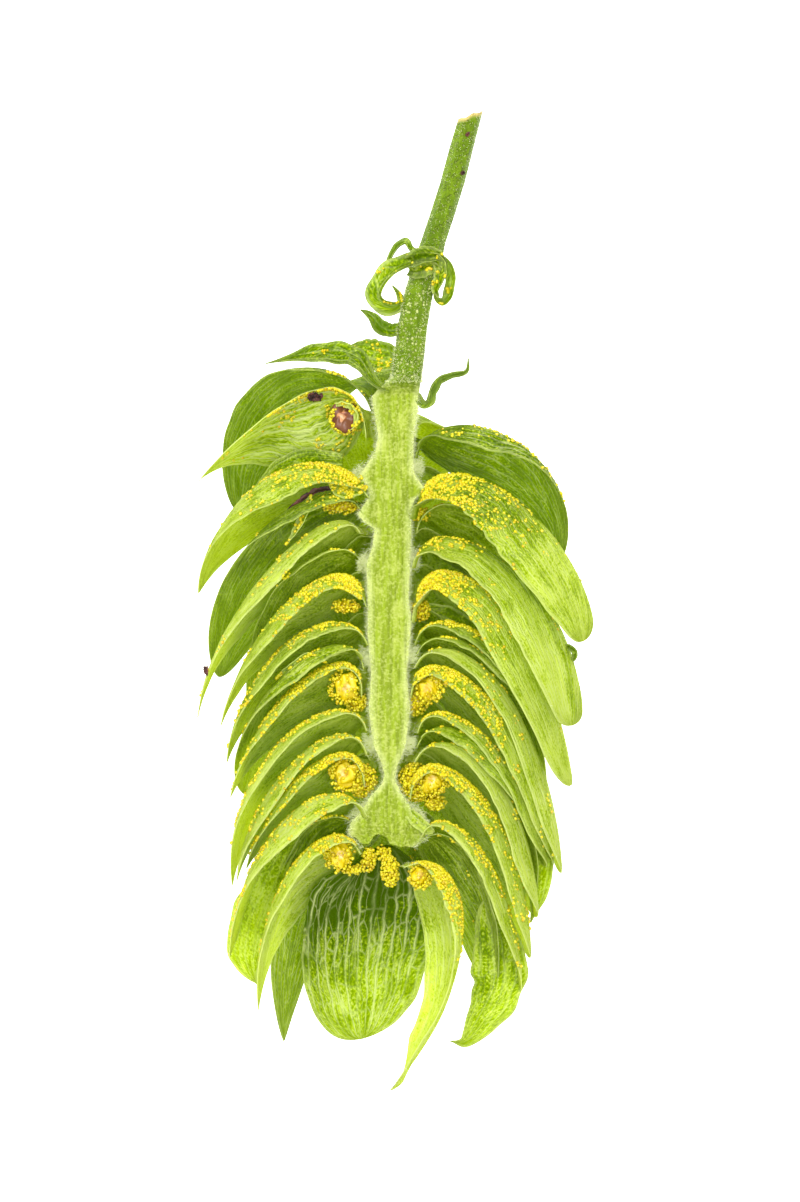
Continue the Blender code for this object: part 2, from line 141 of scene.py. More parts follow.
# What makes one bract: the height of its surface on the strig, its middle angle and half width, the share
# of the line that it runs along, how many degrees in front of the cut plane it is cut off, the powers of
# its tip, the width of its foot, where it is widest and how slowly it swells, how far its cut edge lies
# inward, its far edge hangs down, its cut edge hangs near its foot and its tip bends sideways; its tone
# from 0 dark to 1 pale, its fold's painted shade (a change of tone on its far side, below 0 darker), how
# much paler it is at its tip, how strong its veins are; glands on its face and on its ridge, the share of
# its length that they reach, and its hairs.
Bract = collections.namedtuple(
    "Bract",
    "height middle half_width run front tip foot peak swell twist droop skirt hook tone band rise veins "
    "face ridge reach hairs",
    defaults=(
        4.8, 1.0, 26.0, POINTED, 0.17, 0.38, 0.8, 0.0, 0.0, 0.0, 0.0, 0.6, 0.0, 0.0, 0.6, 20, 10, 0.4, 30,
    ),
)
BRACTS = {
    "bract_left_01": Bract(
        9.8, 178, 5.6, front=1, droop=2.5, tone=0.74, veins=1.7, face=150, ridge=160, reach=0.5,
    ),
    "bract_left_02": Bract(
        6.5, 170, 6.4, front=34, twist=0.2, skirt=0.5, tone=0.73, face=420, ridge=260, reach=0.36,
    ),
    "bract_left_03": Bract(
        4.1, 174, 4.6, front=22, tip=SHARP, foot=0.3, twist=0.3, tone=0.97, veins=0.9, face=60, ridge=20,
        reach=0.7, hairs=260,
    ),
    "bract_left_04": Bract(
        0.7, 176, front=24, skirt=0.9, tone=0.83, face=480, ridge=240, reach=0.36, hairs=80,
    ),
    "bract_left_05": Bract(
        -2.0, 174, 5.0, front=19, foot=0.34, tone=0.77, band=-0.1, ridge=420, reach=0.5, hairs=80,
    ),
    "bract_left_06": Bract(
        -4.5, 174, front=17, skirt=0.4, tone=0.86, face=200, ridge=380, reach=0.5, hairs=120,
    ),
    "bract_left_07": Bract(
        -6.7, 170, 5.0, front=17, foot=0.36, twist=0.2, tone=0.93, veins=0.8, ridge=260, reach=0.6,
        hairs=160,
    ),
    "bract_left_08": Bract(
        -8.0, 176, 4.4, front=18, foot=0.3, twist=0.3, tone=0.99, face=90, ridge=60, reach=0.6, hairs=200,
    ),
    "bract_left_09": Bract(
        -9.4, 174, 4.6, front=17, skirt=0.5, tone=0.87, face=240, ridge=340, reach=0.5, hairs=120,
    ),
    "bract_left_10": Bract(
        -11.4, 172, front=30, foot=0.34, tone=1.01, veins=1.0, face=110, ridge=260, reach=0.8, hairs=200,
    ),
    "bract_left_11": Bract(
        -13.5, 172, 4.0, front=22, tone=0.95, veins=1.0, face=80, ridge=480, reach=0.42, hairs=120,
    ),
    "bract_right_01": Bract(
        5.9, -12, 5.4, front=46, tip=ROUND, twist=0.7, skirt=1.0, tone=0.68, rise=0.3, face=640, ridge=380,
        reach=0.34,
    ),
    "bract_right_02": Bract(
        2.7, -8, 5.4, front=36, tip=ROUND, foot=0.36, twist=1.0, skirt=0.5, tone=0.95, band=-0.4, rise=0.3,
        veins=0.9, face=60, ridge=110, reach=0.3,
    ),
    "bract_right_03": Bract(
        0.3, -2, 5.0, front=36, tip=ROUND, twist=0.9, skirt=1.0, tone=0.91, rise=0.1, face=560, ridge=380,
        reach=0.34, hairs=80,
    ),
    "bract_right_04": Bract(
        -1.9, 8, run=0.98, front=18, tip=ROUND, foot=0.34, twist=0.5, ridge=420, reach=0.6,
    ),
    "bract_right_05": Bract(
        -3.2, 6, 5.0, front=19, tip=ROUND, foot=0.34, twist=0.8, tone=0.97, veins=0.8, face=24, ridge=24,
        hairs=260,
    ),
    "bract_right_06": Bract(
        -4.4, 4, 5.0, front=25, tip=ROUND, twist=0.5, skirt=0.5, tone=0.81, face=420, ridge=340, hairs=120,
    ),
    "bract_right_07": Bract(
        -6.8, 6, front=17, tip=ROUND, twist=0.5, tone=0.8, face=30, ridge=380, reach=0.45, hairs=80,
    ),
    "bract_right_08": Bract(
        -8.4, 8, front=19, tip=ROUND, foot=0.34, twist=0.7, tone=0.99, veins=0.8, face=24, ridge=40,
        hairs=200,
    ),
    "bract_right_09": Bract(
        -10.0, 6, front=22, tip=ROUND, twist=0.4, skirt=0.5, tone=0.89, face=420, ridge=480, reach=0.42,
        hairs=120,
    ),
    "bract_right_10": Bract(
        -12.6, 8, 4.3, front=21, tip=BLUNT, foot=0.36, twist=0.5, tone=0.92, veins=0.9, face=30, ridge=300,
        reach=0.5, hairs=80,
    ),
    "bract_back_01": Bract(9.2, 92, 5.4, tone=0.68),
    "bract_back_02": Bract(6.9, 92, 5.4, tone=0.68),
    "bract_back_03": Bract(3.6, 88, 5.4, run=0.84, tone=0.68),
    "bract_back_04": Bract(1.4, 92, 5.2, run=0.85, tone=0.68),
    "bract_back_05": Bract(-1.0, 88, 5.2, run=0.97, tone=0.68),
    "bract_back_06": Bract(-5.4, 91, 5.0, tone=0.68),
    "bract_back_07": Bract(-8.9, 88, tone=0.68),
    "bract_back_08": Bract(-11.9, 92, 4.4, tone=0.68),
    "bract_back_right_01": Bract(
        8.4, 20, 5.4, front=42, tip=BLUNT, droop=0.8, tone=0.34, veins=0.9, face=30, ridge=60, reach=0.8,
    ),
    "bract_back_right_02": Bract(4.4, 44, tip=BLUNT, tone=0.62),
    "bract_back_right_03": Bract(-2.6, 38, 5.4, tip=ROUND, tone=0.62),
    "bract_back_right_04": Bract(-7.6, 26, 5.2, tip=ROUND, tone=0.62),
    "bract_back_right_05": Bract(-13.1, 26, 4.6, run=0.94, front=2, tone=0.52, veins=0.9),
    "bract_back_left_01": Bract(11.2, 140, 4.7, run=0.97, tip=BLUNT, tone=0.34, veins=0.8, ridge=0),
    "bract_back_left_02": Bract(5.3, 152, 5.2, run=1.03, tip=BLUNT, tone=0.42, veins=0.8),
    "bract_back_left_03": Bract(2.4, 138, tone=0.62),
    "bract_back_left_04": Bract(-3.3, 156, 5.2, tip=ROUND, tone=0.62),
    "bract_back_left_05": Bract(-12.5, 136, 3.4, run=1.1, hook=-0.3, tone=0.42, veins=0.9),
    # The wide tip bract's low tone and steep rise darken its upper part, near the strig: painted shade.
    "bract_tip_wide": Bract(
        -13.7, 107, 4.3, tip=ROUND, foot=0.03, peak=0.56, swell=2.4, tone=0.12, rise=0.9, veins=1.1, face=0,
        ridge=0, hairs=0,
    ),
    "bract_tip_long": Bract(
        -14.5, 18, 3.1, front=60, tip=BLUNT, tone=1.02, veins=1.0, face=420, ridge=620, reach=0.34,
        hairs=160,
    ),
}
# A bract's rows start this share of its length before its line, so that its foot meets the strig.
FOOT = -0.07

# Left and right edges of the stem, as (height, x).
STEM_LEFT = [
    (26.9, 3.72), (25.0, 3.15), (23.0, 2.62), (21.0, 1.98), (19.6, 1.50), (18.9, 1.22), (18.2, 1.05),
    (17.0, 0.66), (15.0, 0.24), (13.0, 0.03), (12.2, -0.10), (11.7, -0.75), (11.2, -1.15), (10.6, -1.10),
    (9.0, -0.82), (8.2, -0.98), (7.4, -1.45), (6.9, -1.85), (6.3, -1.48), (5.7, -1.30), (5.1, -1.70),
    (4.7, -1.95), (4.3, -1.60), (3.9, -1.02), (3.0, -1.12), (2.0, -1.46), (0.0, -1.40), (-2.0, -1.40),
    (-4.0, -1.20), (-6.0, -1.34), (-8.0, -1.08), (-9.0, -0.62), (-9.6, -0.48), (-10.1, -0.60),
    (-10.8, -1.25), (-11.6, -1.75), (-12.3, -2.35), (-12.9, -2.45), (-13.6, -1.8),
]
STEM_RIGHT = [
    (26.9, 4.95), (25.0, 4.45), (23.0, 3.95), (21.0, 3.32), (19.6, 2.86), (18.9, 2.72), (18.2, 2.55),
    (17.0, 2.22), (15.0, 1.88), (13.0, 1.68), (12.0, 1.55), (11.3, 1.42), (10.6, 1.36), (9.0, 1.15),
    (7.6, 1.12), (6.9, 1.20), (6.3, 1.62), (5.9, 1.95), (5.6, 1.22), (5.0, 1.02), (3.0, 1.00),
    (0.8, 0.90), (0.0, 0.86), (-1.0, 1.04), (-3.0, 0.86), (-4.0, 0.76), (-6.0, 0.94), (-8.0, 0.70),
    (-8.6, 0.46), (-9.2, 0.20), (-9.9, 0.12), (-10.6, 0.44), (-11.3, 0.92), (-12.0, 1.32),
    (-12.6, 1.85), (-13.0, 1.90), (-13.6, 1.20),
]
STALK_DEPTH = 0.76
STRIG_DEPTH = 0.95
CUT_RUNS_OUT = (11.2, 12.4)
# The stalk's top is cut obliquely, and the strig ends below in an arch between two arms.
STEM_TOP = 26.45
STEM_TOP_SLOPE = 0.38
STEM_FOOT = -13.6
# The heights of the woolly knots beside the strig, on the left and on the right.
HAIRY_LEFT = (6.9, 2.1, -3.2, -8.0, -11.6)
HAIRY_RIGHT = (7.4, 2.3, -3.0, -7.9, -11.8)

OVARIES = {
    "ovary_left_1": ((-2.62, -4.75), 0.62),
    "ovary_left_2": ((-2.6, -9.6), 0.62),
    "ovary_left_3": ((-2.95, -13.95), 0.6),
    "ovary_right_1": ((1.95, -4.8), 0.56),
    "ovary_right_2": ((2.2, -9.95), 0.55),
    "ovary_right_3": ((1.5, -15.15), 0.45),
}
SEED = ((-2.68, 10.0), 0.72)
OVARY_HEIGHT = -0.25

# Small blades: route (x, y, z) from the stem to the tip, half width, the lean of the blade's width from the
# cut plane towards +Z in degrees, how much it is cupped, its tone, the share of its width at its foot, its
# glands, and how late it swells. Those at the stalk stand for solids.
Blade = collections.namedtuple("Blade", "route half_width lean cup tone foot glands swell", defaults=(0.9,))
BLADES = {
    "leaf_left_pointed": Blade(
        [
            (-0.2, 11.6, 0.1), (-0.7, 11.75, 0.3), (-1.2, 12.2, 0.4), (-1.6, 12.8, 0.4), (-2.1, 13.3, 0.4),
            (-3.0, 13.55, 0.4), (-4.2, 13.55, 0.3), (-5.5, 13.35, 0.1), (-7.0, 13.0, -0.2),
        ],
        0.78, 20, 0.3, 0.3, 0.22, 6, 2.0,
    ),
    "leaf_left_small": Blade(
        [
            (0.2, 13.2, -0.5), (-0.5, 13.35, -0.6), (-1.2, 13.5, -0.8), (-2.0, 13.75, -0.9),
            (-2.5, 13.95, -1.0),
        ],
        0.95, 15, 0.2, 0.36, 0.6, 70,
    ),
    "leaf_stalk": Blade(
        [(0.45, 15.0, 0.0), (-0.1, 14.8, 0.1), (-0.7, 15.0, 0.2), (-1.2, 15.6, 0.1), (-1.8, 15.98, 0.0)],
        0.42, 15, 0.25, 0.22, 0.5, 0,
    ),
    "collar_curl_left": Blade(
        [
            (1.3, 18.7, 0.7), (0.5, 18.45, 0.7), (-0.2, 18.05, 0.6), (-0.75, 17.4, 0.5), (-0.95, 16.7, 0.4),
            (-0.6, 16.25, 0.3), (0.0, 16.1, 0.2), (0.4, 16.35, 0.1), (0.3, 16.8, 0.0), (-0.05, 17.3, 0.0),
        ],
        0.52, 32, 0.4, 0.34, 0.8, 24,
    ),
    "collar_curl_top": Blade(
        [
            (1.5, 18.9, 0.3), (1.05, 19.2, 0.3), (0.7, 19.65, 0.2), (0.25, 19.45, 0.2), (-0.1, 18.9, 0.2),
            (-0.35, 18.2, 0.3), (-0.5, 17.6, 0.3),
        ],
        0.2, 50, 0.2, 0.22, 0.9, 0,
    ),
    "collar_curl_right": Blade(
        [
            (1.9, 18.9, 0.7), (2.6, 18.8, 0.7), (3.1, 18.3, 0.6), (3.25, 17.6, 0.5), (3.1, 16.8, 0.4),
            (2.75, 16.3, 0.3), (2.35, 16.6, 0.2), (2.25, 17.1, 0.2),
        ],
        0.34, 36, 0.3, 0.36, 0.9, 10,
    ),
    "curl_right_thin": Blade(
        [
            (1.35, 11.3, 0.0), (1.7, 10.85, 0.1), (1.95, 10.9, 0.2), (2.15, 11.5, 0.3), (2.5, 12.1, 0.3),
            (3.2, 12.4, 0.3), (4.0, 12.6, 0.2), (4.15, 13.3, 0.1),
        ],
        0.24, 40, 0.3, 0.28, 0.9, 0,
    ),
}
# More small pieces, which have no solid of their own.
EXTRA_BLADES = {
    "collar_hood": Blade(
        [(0.85, 18.6, 0.6), (1.3, 18.9, 0.95), (1.9, 19.0, 1.12), (2.5, 18.9, 0.95), (3.0, 18.4, 0.5)],
        0.44, 5, 0.5, 0.28, 0.7, 8,
    ),
    "collar_fold": Blade(
        [(0.85, 18.1, 0.6), (1.3, 18.05, 0.95), (1.8, 18.25, 1.12), (2.3, 18.3, 1.0), (2.8, 18.0, 0.6)],
        0.42, 20, 0.4, 0.32, 0.7, 10,
    ),
    "collar_drape": Blade(
        [(2.3, 18.9, 0.95), (2.65, 18.3, 1.0), (2.6, 17.7, 0.9), (2.35, 17.1, 0.7), (2.5, 16.6, 0.5)],
        0.34, 20, 0.3, 0.36, 0.9, 14,
    ),
    "strig_flap": Blade(
        [(-1.6, 6.5, 0.0), (-2.2, 6.2, 0.2), (-2.9, 6.1, 0.3), (-3.6, 6.5, 0.2)],
        0.62, 15, 0.25, 0.58, 0.7, 150,
    ),
    "seed_husk": Blade(
        [
            (-3.15, 10.75, 0.1), (-2.75, 10.85, 0.25), (-2.25, 10.6, 0.32), (-1.98, 10.1, 0.32),
            (-2.1, 9.6, 0.25), (-2.5, 9.25, 0.1),
        ],
        0.2, 55, 0.2, 0.86, 0.6, 30,
    ),
    "bract_sliver": Blade(
        [(-4.5, 5.75, 0.3), (-4.85, 4.7, 0.45), (-5.35, 3.8, 0.4), (-5.85, 3.05, 0.2)],
        0.22, 30, 0.2, 0.64, 0.3, 50,
    ),
    "bract_fold": Blade(
        [(-6.4, -4.3, 0.1), (-5.5, -3.75, 0.3), (-4.6, -3.1, 0.4), (-3.7, -3.4, 0.2)],
        0.36, 25, 0.2, 0.6, 0.3, 110,
    ),
    "strig_flap_right": Blade(
        [(0.9, -11.7, 0.0), (1.4, -12.2, 0.1), (1.9, -12.6, 0.1), (2.3, -12.75, 0.0)],
        0.34, 10, 0.2, 0.7, 0.9, 0,
    ),
    "bract_hooked_end": Blade(
        [
            (5.2, -16.5, -1.6), (5.7, -18.5, -1.7), (5.9, -20.3, -1.7), (5.7, -21.7, -1.6),
            (4.95, -23.1, -1.4), (4.0, -24.3, -1.2), (3.15, -24.3, -1.0),
        ],
        1.55, 12, 0.3, 0.58, 0.15, 0, 0.7,
    ),
    "inner_leaf_low_left": Blade(
        [
            (-5.4, -12.6, -1.7), (-6.7, -15.0, -2.1), (-7.6, -17.2, -2.2), (-8.1, -19.2, -2.1),
            (-7.9, -20.4, -1.9), (-7.5, -21.2, -1.7),
        ],
        1.25, 10, 0.25, 0.72, 0.4, 0, 1.0,
    ),
    "inner_leaf_low_right": Blade(
        [
            (6.3, -9.6, -1.8), (7.4, -12.2, -2.1), (7.95, -14.4, -2.2), (8.0, -16.2, -2.1),
            (7.6, -17.8, -1.8),
        ],
        0.95, 10, 0.25, 0.6, 0.4, 0, 1.0,
    ),
    "inner_leaf_right": Blade(
        [(1.4, -0.6, -1.5), (2.8, -1.0, -1.9), (4.4, -1.9, -2.1), (5.8, -3.4, -2.1)],
        0.8, 10, 0.25, 0.5, 0.6, 0, 1.0,
    ),
    "inner_leaf_left": Blade(
        [(-2.8, 7.6, -1.4), (-4.6, 7.7, -1.8), (-6.2, 7.2, -2.0), (-7.8, 6.0, -2.0)],
        0.7, 10, 0.25, 0.5, 0.6, 0, 1.0,
    ),
    "bract_curled_bit": Blade(
        [(9.5, -2.5, 0.1), (9.8, -2.6, 0.2), (10.05, -2.9, 0.2), (9.95, -3.3, 0.1), (9.8, -3.2, 0.0)],
        0.16, 40, 0.2, 0.3, 0.9, 0,
    ),
}
# Dried brown tissue: routes like the blades', and their half widths.
SCRAPS = {
    "dried_strip": ([(-3.3, 6.15, -0.2), (-4.2, 6.0, 0.0), (-5.2, 5.4, 0.1), (-6.3, 4.4, 0.0)], 0.13),
    "dried_bit": ([(-4.65, 11.05, 0.2), (-4.4, 11.2, 0.35), (-4.1, 11.15, 0.3), (-3.9, 11.3, 0.2)], 0.27),
    "dried_speck": ([(-10.26, -3.65, 0.25), (-10.28, -3.9, 0.3), (-10.22, -4.15, 0.25)], 0.13),
    "dried_dot_high": ([(4.0, 25.5, 0.74), (4.1, 25.6, 0.78), (4.2, 25.7, 0.74)], 0.07),
    "dried_dot_low": ([(3.75, 23.4, 0.66), (3.85, 23.5, 0.7), (3.95, 23.45, 0.66)], 0.08),
}
# Heaps of loose glands: centre (x, y, z), the half lengths of the heap, and how many glands.
HEAPS = [
    ((-1.75, -9.9, -0.75), (0.75, 0.85, 0.5), 330), ((1.25, -10.05, -0.8), (0.85, 0.95, 0.5), 420),
    ((2.35, -11.15, -1.0), (0.5, 0.4, 0.4), 110), ((1.3, -5.55, -0.9), (0.55, 0.7, 0.45), 180),
    ((-2.0, -5.6, -0.8), (0.55, 0.45, 0.4), 130), ((-2.6, -0.35, -0.6), (0.7, 0.3, 0.4), 110),
    ((-3.0, 5.15, -0.7), (1.1, 0.35, 0.4), 130), ((1.45, -0.55, -0.8), (0.5, 0.55, 0.4), 140),
    ((-0.15, -14.9, -0.6), (0.4, 0.75, 0.4), 200), ((-1.35, -14.3, -0.8), (0.35, 0.55, 0.4), 110),
    ((-2.2, -14.85, -0.8), (0.55, 0.22, 0.3), 70), ((1.5, 4.7, -0.8), (0.45, 0.35, 0.4), 80),
    ((-0.5, -13.9, -0.9), (0.3, 0.4, 0.3), 50),
]


# ---------------------------------------------------------------- settings


def setting(kind, name, description, default, **limits):
    return getattr(bpy.props, kind)(name=name, description=description, default=default, **limits)


def length_setting(name, description, default):
    """A length in metres that the sidebar shows in the scene's units."""
    limits = {"min": 0.0, "precision": 6, "subtype": "DISTANCE", "unit": "LENGTH"}
    return setting("FloatProperty", name, description, default, **limits)


def count_setting(name, description, default):
    return setting("IntProperty", name, description, default, min=1)


def share_setting(name, description, default):
    return setting("FloatProperty", name, description, default, min=0.0, max=4.0, subtype="FACTOR")


def color_setting(name, description, default):
    limits = {"min": 0.0, "max": 1.0, "size": 3, "subtype": "COLOR"}
    return setting("FloatVectorProperty", name, description, default, **limits)


class HopSizes(bpy.types.PropertyGroup):
    bract_thickness: length_setting("Bract thickness", "Thickness of a bract at its midrib", 0.13 * MM)
    bract_rows: count_setting("Bract rows", "Faces along each bract", 84)
    bract_columns: count_setting("Bract columns", "Faces across each bract", 48)
    blade_thickness: length_setting("Small leaf thickness", "Thickness of a leaf at the stalk", 0.11 * MM)
    blade_rows: count_setting("Small leaf rows", "Faces along each small leaf", 60)
    blade_columns: count_setting("Small leaf columns", "Faces across each small leaf", 16)
    gland_diameter: length_setting("Gland diameter", "Diameter of a lupulin gland", 0.19 * MM)
    gland_amount: share_setting("Gland amount", "Multiplies the number of glands", 1.0)
    hair_length: length_setting("Hair length", "Length of a hair on the strig", 0.26 * MM)
    hair_width: length_setting("Hair width", "Width of a hair at its foot", 0.022 * MM)
    hair_amount: share_setting("Hair amount", "Multiplies the number of hairs", 1.0)


class HopColors(bpy.types.PropertyGroup):
    leaf_dark: color_setting("Bract, deep green", "Darkest green of the bracts", (0.048, 0.105, 0.0))
    leaf_mid: color_setting("Bract, mid green", "Middle green of the bracts", (0.185, 0.300, 0.0))
    leaf_light: color_setting("Bract, light green", "Light green of the bracts", (0.42, 0.55, 0.005))
    leaf_pale: color_setting("Bract, pale", "Palest green of margins and veins", (0.64, 0.73, 0.14))
    strig: color_setting("Strig", "Cut face of the strig", (0.245, 0.335, 0.015))
    stalk: color_setting("Stalk", "Skin of the stalk", (0.080, 0.145, 0.001))
    gland: color_setting("Gland", "Lupulin glands", (0.74, 0.66, 0.002))
    ovary: color_setting("Ovary", "Cut flesh of the ovaries", (0.80, 0.62, 0.24))
    seed: color_setting("Seed", "Seed shell", (0.13, 0.04, 0.012))
    floor: color_setting("Floor", "The pale floor", (0.93, 0.93, 0.93))


class HopLight(bpy.types.PropertyGroup):
    sky: share_setting("Sky", "Strength of the even light from all round", 0.9)
    key: share_setting("Key lamp", "Power of the large lamp, in watts", 1.3)
    fill: share_setting("Fill lamp", "Power of the small lamp near the camera, in watts", 1.1)
    floor_glow: share_setting("Floor glow", "Light given out by the floor", 1.1)


# ---------------------------------------------------------------- surfaces


def smooth_step(value, start, end):
    """0 before start, 1 past end, and a smooth S between them."""
    share = np.clip((value - start) / (end - start), 0.0, 1.0)
    return share * share * (3.0 - 2.0 * share)


def soft_least(first, second):
    """The smaller of two arrays of angles, with the corner between them rounded."""
    return 0.5 * (first + second - np.sqrt((first - second) ** 2 + SOFT_CORNER))


def line_at(lines, height):
    """The four Bezier points of the surface that leaves the strig at height, between its neighbours."""
    points = np.array(lines)[::-1]
    heights = points[:, 0, 1]
    flat = points.reshape(len(points), -1)
    mixed = [np.interp(height, heights, column) for column in flat.T]
    return np.array(mixed).reshape(4, 2)


def cone_point(height, along, angle):
    """Points of one nested surface: a Bezier line between the right and the left one, swept round the
    strig by the angle, drooping at its sides, and pressed flat where it would pass the floor."""
    along = np.asarray(along, float)
    rest = 1.0 - along
    weights = np.stack([rest**3, 3 * along * rest**2, 3 * along**2 * rest, along**3], -1)
    right = weights @ line_at(RIGHT_LINES, height)
    left = weights @ line_at(LEFT_LINES, height)
    left_share = (0.5 - 0.5 * np.cos(np.clip(angle, 0.0, math.pi)))[..., None]
    radius, y = np.moveaxis((1.0 - left_share) * right + left_share * left, -1, 0)
    past_front = np.maximum(0.0, np.abs(angle - math.pi / 2) - FRONT_ANGLE)
    fold = np.where(past_front > 0.0, 1.0 + (FRONT_FOLD * past_front) ** 2, np.sin(2.0 * angle) ** 2)
    y = y - ARCH * fold * smooth_step(radius, *ARCH_RADII)
    share = DEPTH_TOP + (DEPTH_LOW - DEPTH_TOP) * smooth_step(y, *DEPTH_HEIGHTS)
    depth = radius * np.sin(angle) * np.where(np.sin(angle) > 0.0, share, DEPTH_FRONT)
    past = np.maximum(0.0, depth - PRESSED_DEPTH)
    depth = np.minimum(depth, PRESSED_DEPTH + PRESSED_RANGE * np.tanh(past / PRESSED_RANGE))
    return np.stack([radius * np.cos(angle), y, -depth], -1)


def leaf_width(share, bract):
    """Half width of a bract along its length, as a share of its greatest: it swells from its foot to its
    widest place, then narrows to its tip by the two powers."""
    swell = np.sin(0.5 * math.pi * np.minimum(share / bract.peak, 1.0)) ** bract.swell
    fall = np.clip((share - bract.peak) / (1.0 - bract.peak), 0.0, 1.0)
    first, second = bract.tip
    return 0.006 + (bract.foot + (1.0 - bract.foot) * swell) * (1.0 - fall**first) ** second


def unit(vectors):
    """Vectors made one long."""
    return vectors / np.maximum(np.linalg.norm(vectors, axis=-1, keepdims=True), 1e-9)


def area_vectors(points):
    """For each point of a grid, the step along the rows crossed with the step across them."""
    return np.cross(np.gradient(points, axis=0), np.gradient(points, axis=1))


def leaf_grid(rows, columns):
    """Rows from 0 at a leaf's foot to 1 at its tip, and columns from -1 to 1 across it."""
    return np.meshgrid(np.linspace(0.0, 1.0, rows + 1), np.linspace(-1.0, 1.0, columns + 1), indexing="ij")


def running_length(points, axis):
    """Distance covered along one axis of a grid of points, from 0 at its start."""
    steps = np.linalg.norm(np.diff(points, axis=axis), axis=-1)
    first = [(0, 0), (0, 0)]
    first[axis] = (1, 0)
    return np.cumsum(np.pad(steps, first), axis=axis)


def waves(value, chance, count, low, high):
    """A sum of sines of the value, with random phases and frequencies from low to high, about -1 to 1."""
    total = np.zeros_like(value)
    for _ in range(count):
        frequency = chance.uniform(low, high)
        total = total + np.sin(2.0 * math.pi * (frequency * value + chance.uniform()))
    return total / math.sqrt(count)


class Sheet:
    """A thin leaf as a grid of points, with its normals and what its material reads."""

    def __init__(self, points, row, column, half_width, tone, thickness):
        self.points = points
        steps = area_vectors(points)
        self.normals = unit(steps)
        self.area = np.linalg.norm(steps, axis=-1)
        self.row = row
        self.along = running_length(points, 0)
        self.across = column * half_width
        sides = running_length(points, 1)
        margin = np.minimum(sides, sides[:, -1:] - sides)
        tip = self.along[-1:, :] - self.along
        self.margin = np.minimum(margin, tip + TIP_MARGIN)
        self.tone = tone
        self.veins = 0.5
        self.thickness = thickness


def bract_seed(name):
    """A bract's number in the table, from which its random draws start."""
    return list(BRACTS).index(name)


# How a bract's rows close up towards its tip, and how they follow its line.
ROW_POWER = 1.5
LINE_POWER = 1.15
# The widest half angle of a bract round the strig, how softly it meets its cut edge, and how much its
# margins and its cut edge waver.
WIDEST_ANGLE = 0.9
LEAST_RADIUS = 0.5
SOFT_CORNER = 0.01
MARGIN_WAVER = 0.014
MARGIN_WAVER_ROWS = (0.05, 0.3)
CUT_WAVER = 0.022
# Where a bract bends: spans are angles from the cut plane in radians, rows are shares of its length.
TWIST_SPAN = (-0.08, 0.32)
TWIST_POWER = 1.6
DROOP_SPAN = (0.0, 0.9)
DROOP_ROWS = (0.05, 0.5)
SKIRT_SPAN = (0.0, 0.45)
SKIRT_PLACE = (0.1, 0.17)
HOOK_ROWS = (0.6, 1.1)
HOOK_POWER = 1.5
# Depth in millimetres and width of the midrib and of the side veins, and the places of these.
MIDRIB = (0.10, 0.07)
SIDE_VEIN = (0.035, 0.05)
SIDE_VEINS = (-0.78, -0.55, -0.3, 0.3, 0.55, 0.78)
VEIN_WANDER = 0.03
# Heights in millimetres of the ripples along a bract, across it and in its margin.
RIPPLE_ALONG = 0.022
RIPPLE_ACROSS = 0.045
RIPPLE_MARGIN = 0.025
# Where a bract's tone rises to its tip, where its fold's painted shade starts past its cut edge, and where
# its veins fade in.
RISE_ROWS = (0.5, 0.85)
FOLD_SHADE_SPAN = (-0.22, -0.12)
VEIN_ROWS = (0.16, 0.6)
# A leaf's tip counts as this far inside its margin.
TIP_MARGIN = 0.1


def margin_angles(bract, share, radius, chance):
    """The angles of a bract's two margins: its middle angle less and more its half width over the radius,
    which waver a little; the one in front is cut off."""
    row = np.maximum(share, 0.0)
    centre = math.radians(bract.middle)
    half_angle = np.minimum(bract.half_width * leaf_width(row, bract) / radius, WIDEST_ANGLE)
    rough = MARGIN_WAVER * smooth_step(row, *MARGIN_WAVER_ROWS)
    low = centre - half_angle * (1.0 + rough * waves(share, chance, 4, 3.0, 14.0))
    high = centre + half_angle * (1.0 + rough * waves(share, chance, 4, 3.0, 14.0))
    limit = math.radians(bract.front) * (1.0 + CUT_WAVER * waves(share, chance, 5, 2.0, 16.0))
    if bract.middle > 90:
        return low, soft_least(high, math.pi + limit)
    return -soft_least(-low, limit), high


def bend_bract(points, bract, row, along, past):
    """Moves a bract's points: inwards past the cut plane near its tip, its far side down, its cut edge down
    near its foot, and its tip sideways."""
    front, turned = (math.pi, (1.0, -1.0)) if bract.middle > 90 else (0.0, (-1.0, 1.0))
    spine = cone_point(bract.height, along, np.full_like(row, front))
    outward = unit(np.gradient(spine[..., :2], axis=0)[..., ::-1] * turned)
    shift = bract.twist * smooth_step(past, *TWIST_SPAN) * row**TWIST_POWER
    points[..., :2] -= outward * shift[..., None]
    points[..., 1] -= bract.droop * smooth_step(-past, *DROOP_SPAN) * smooth_step(row, *DROOP_ROWS)
    middle, width = SKIRT_PLACE
    skirt = smooth_step(past, *SKIRT_SPAN) * np.exp(-(((row - middle) / width) ** 2))
    points[..., 1] -= bract.skirt * skirt
    points[..., 0] += bract.hook * smooth_step(row, *HOOK_ROWS) ** HOOK_POWER


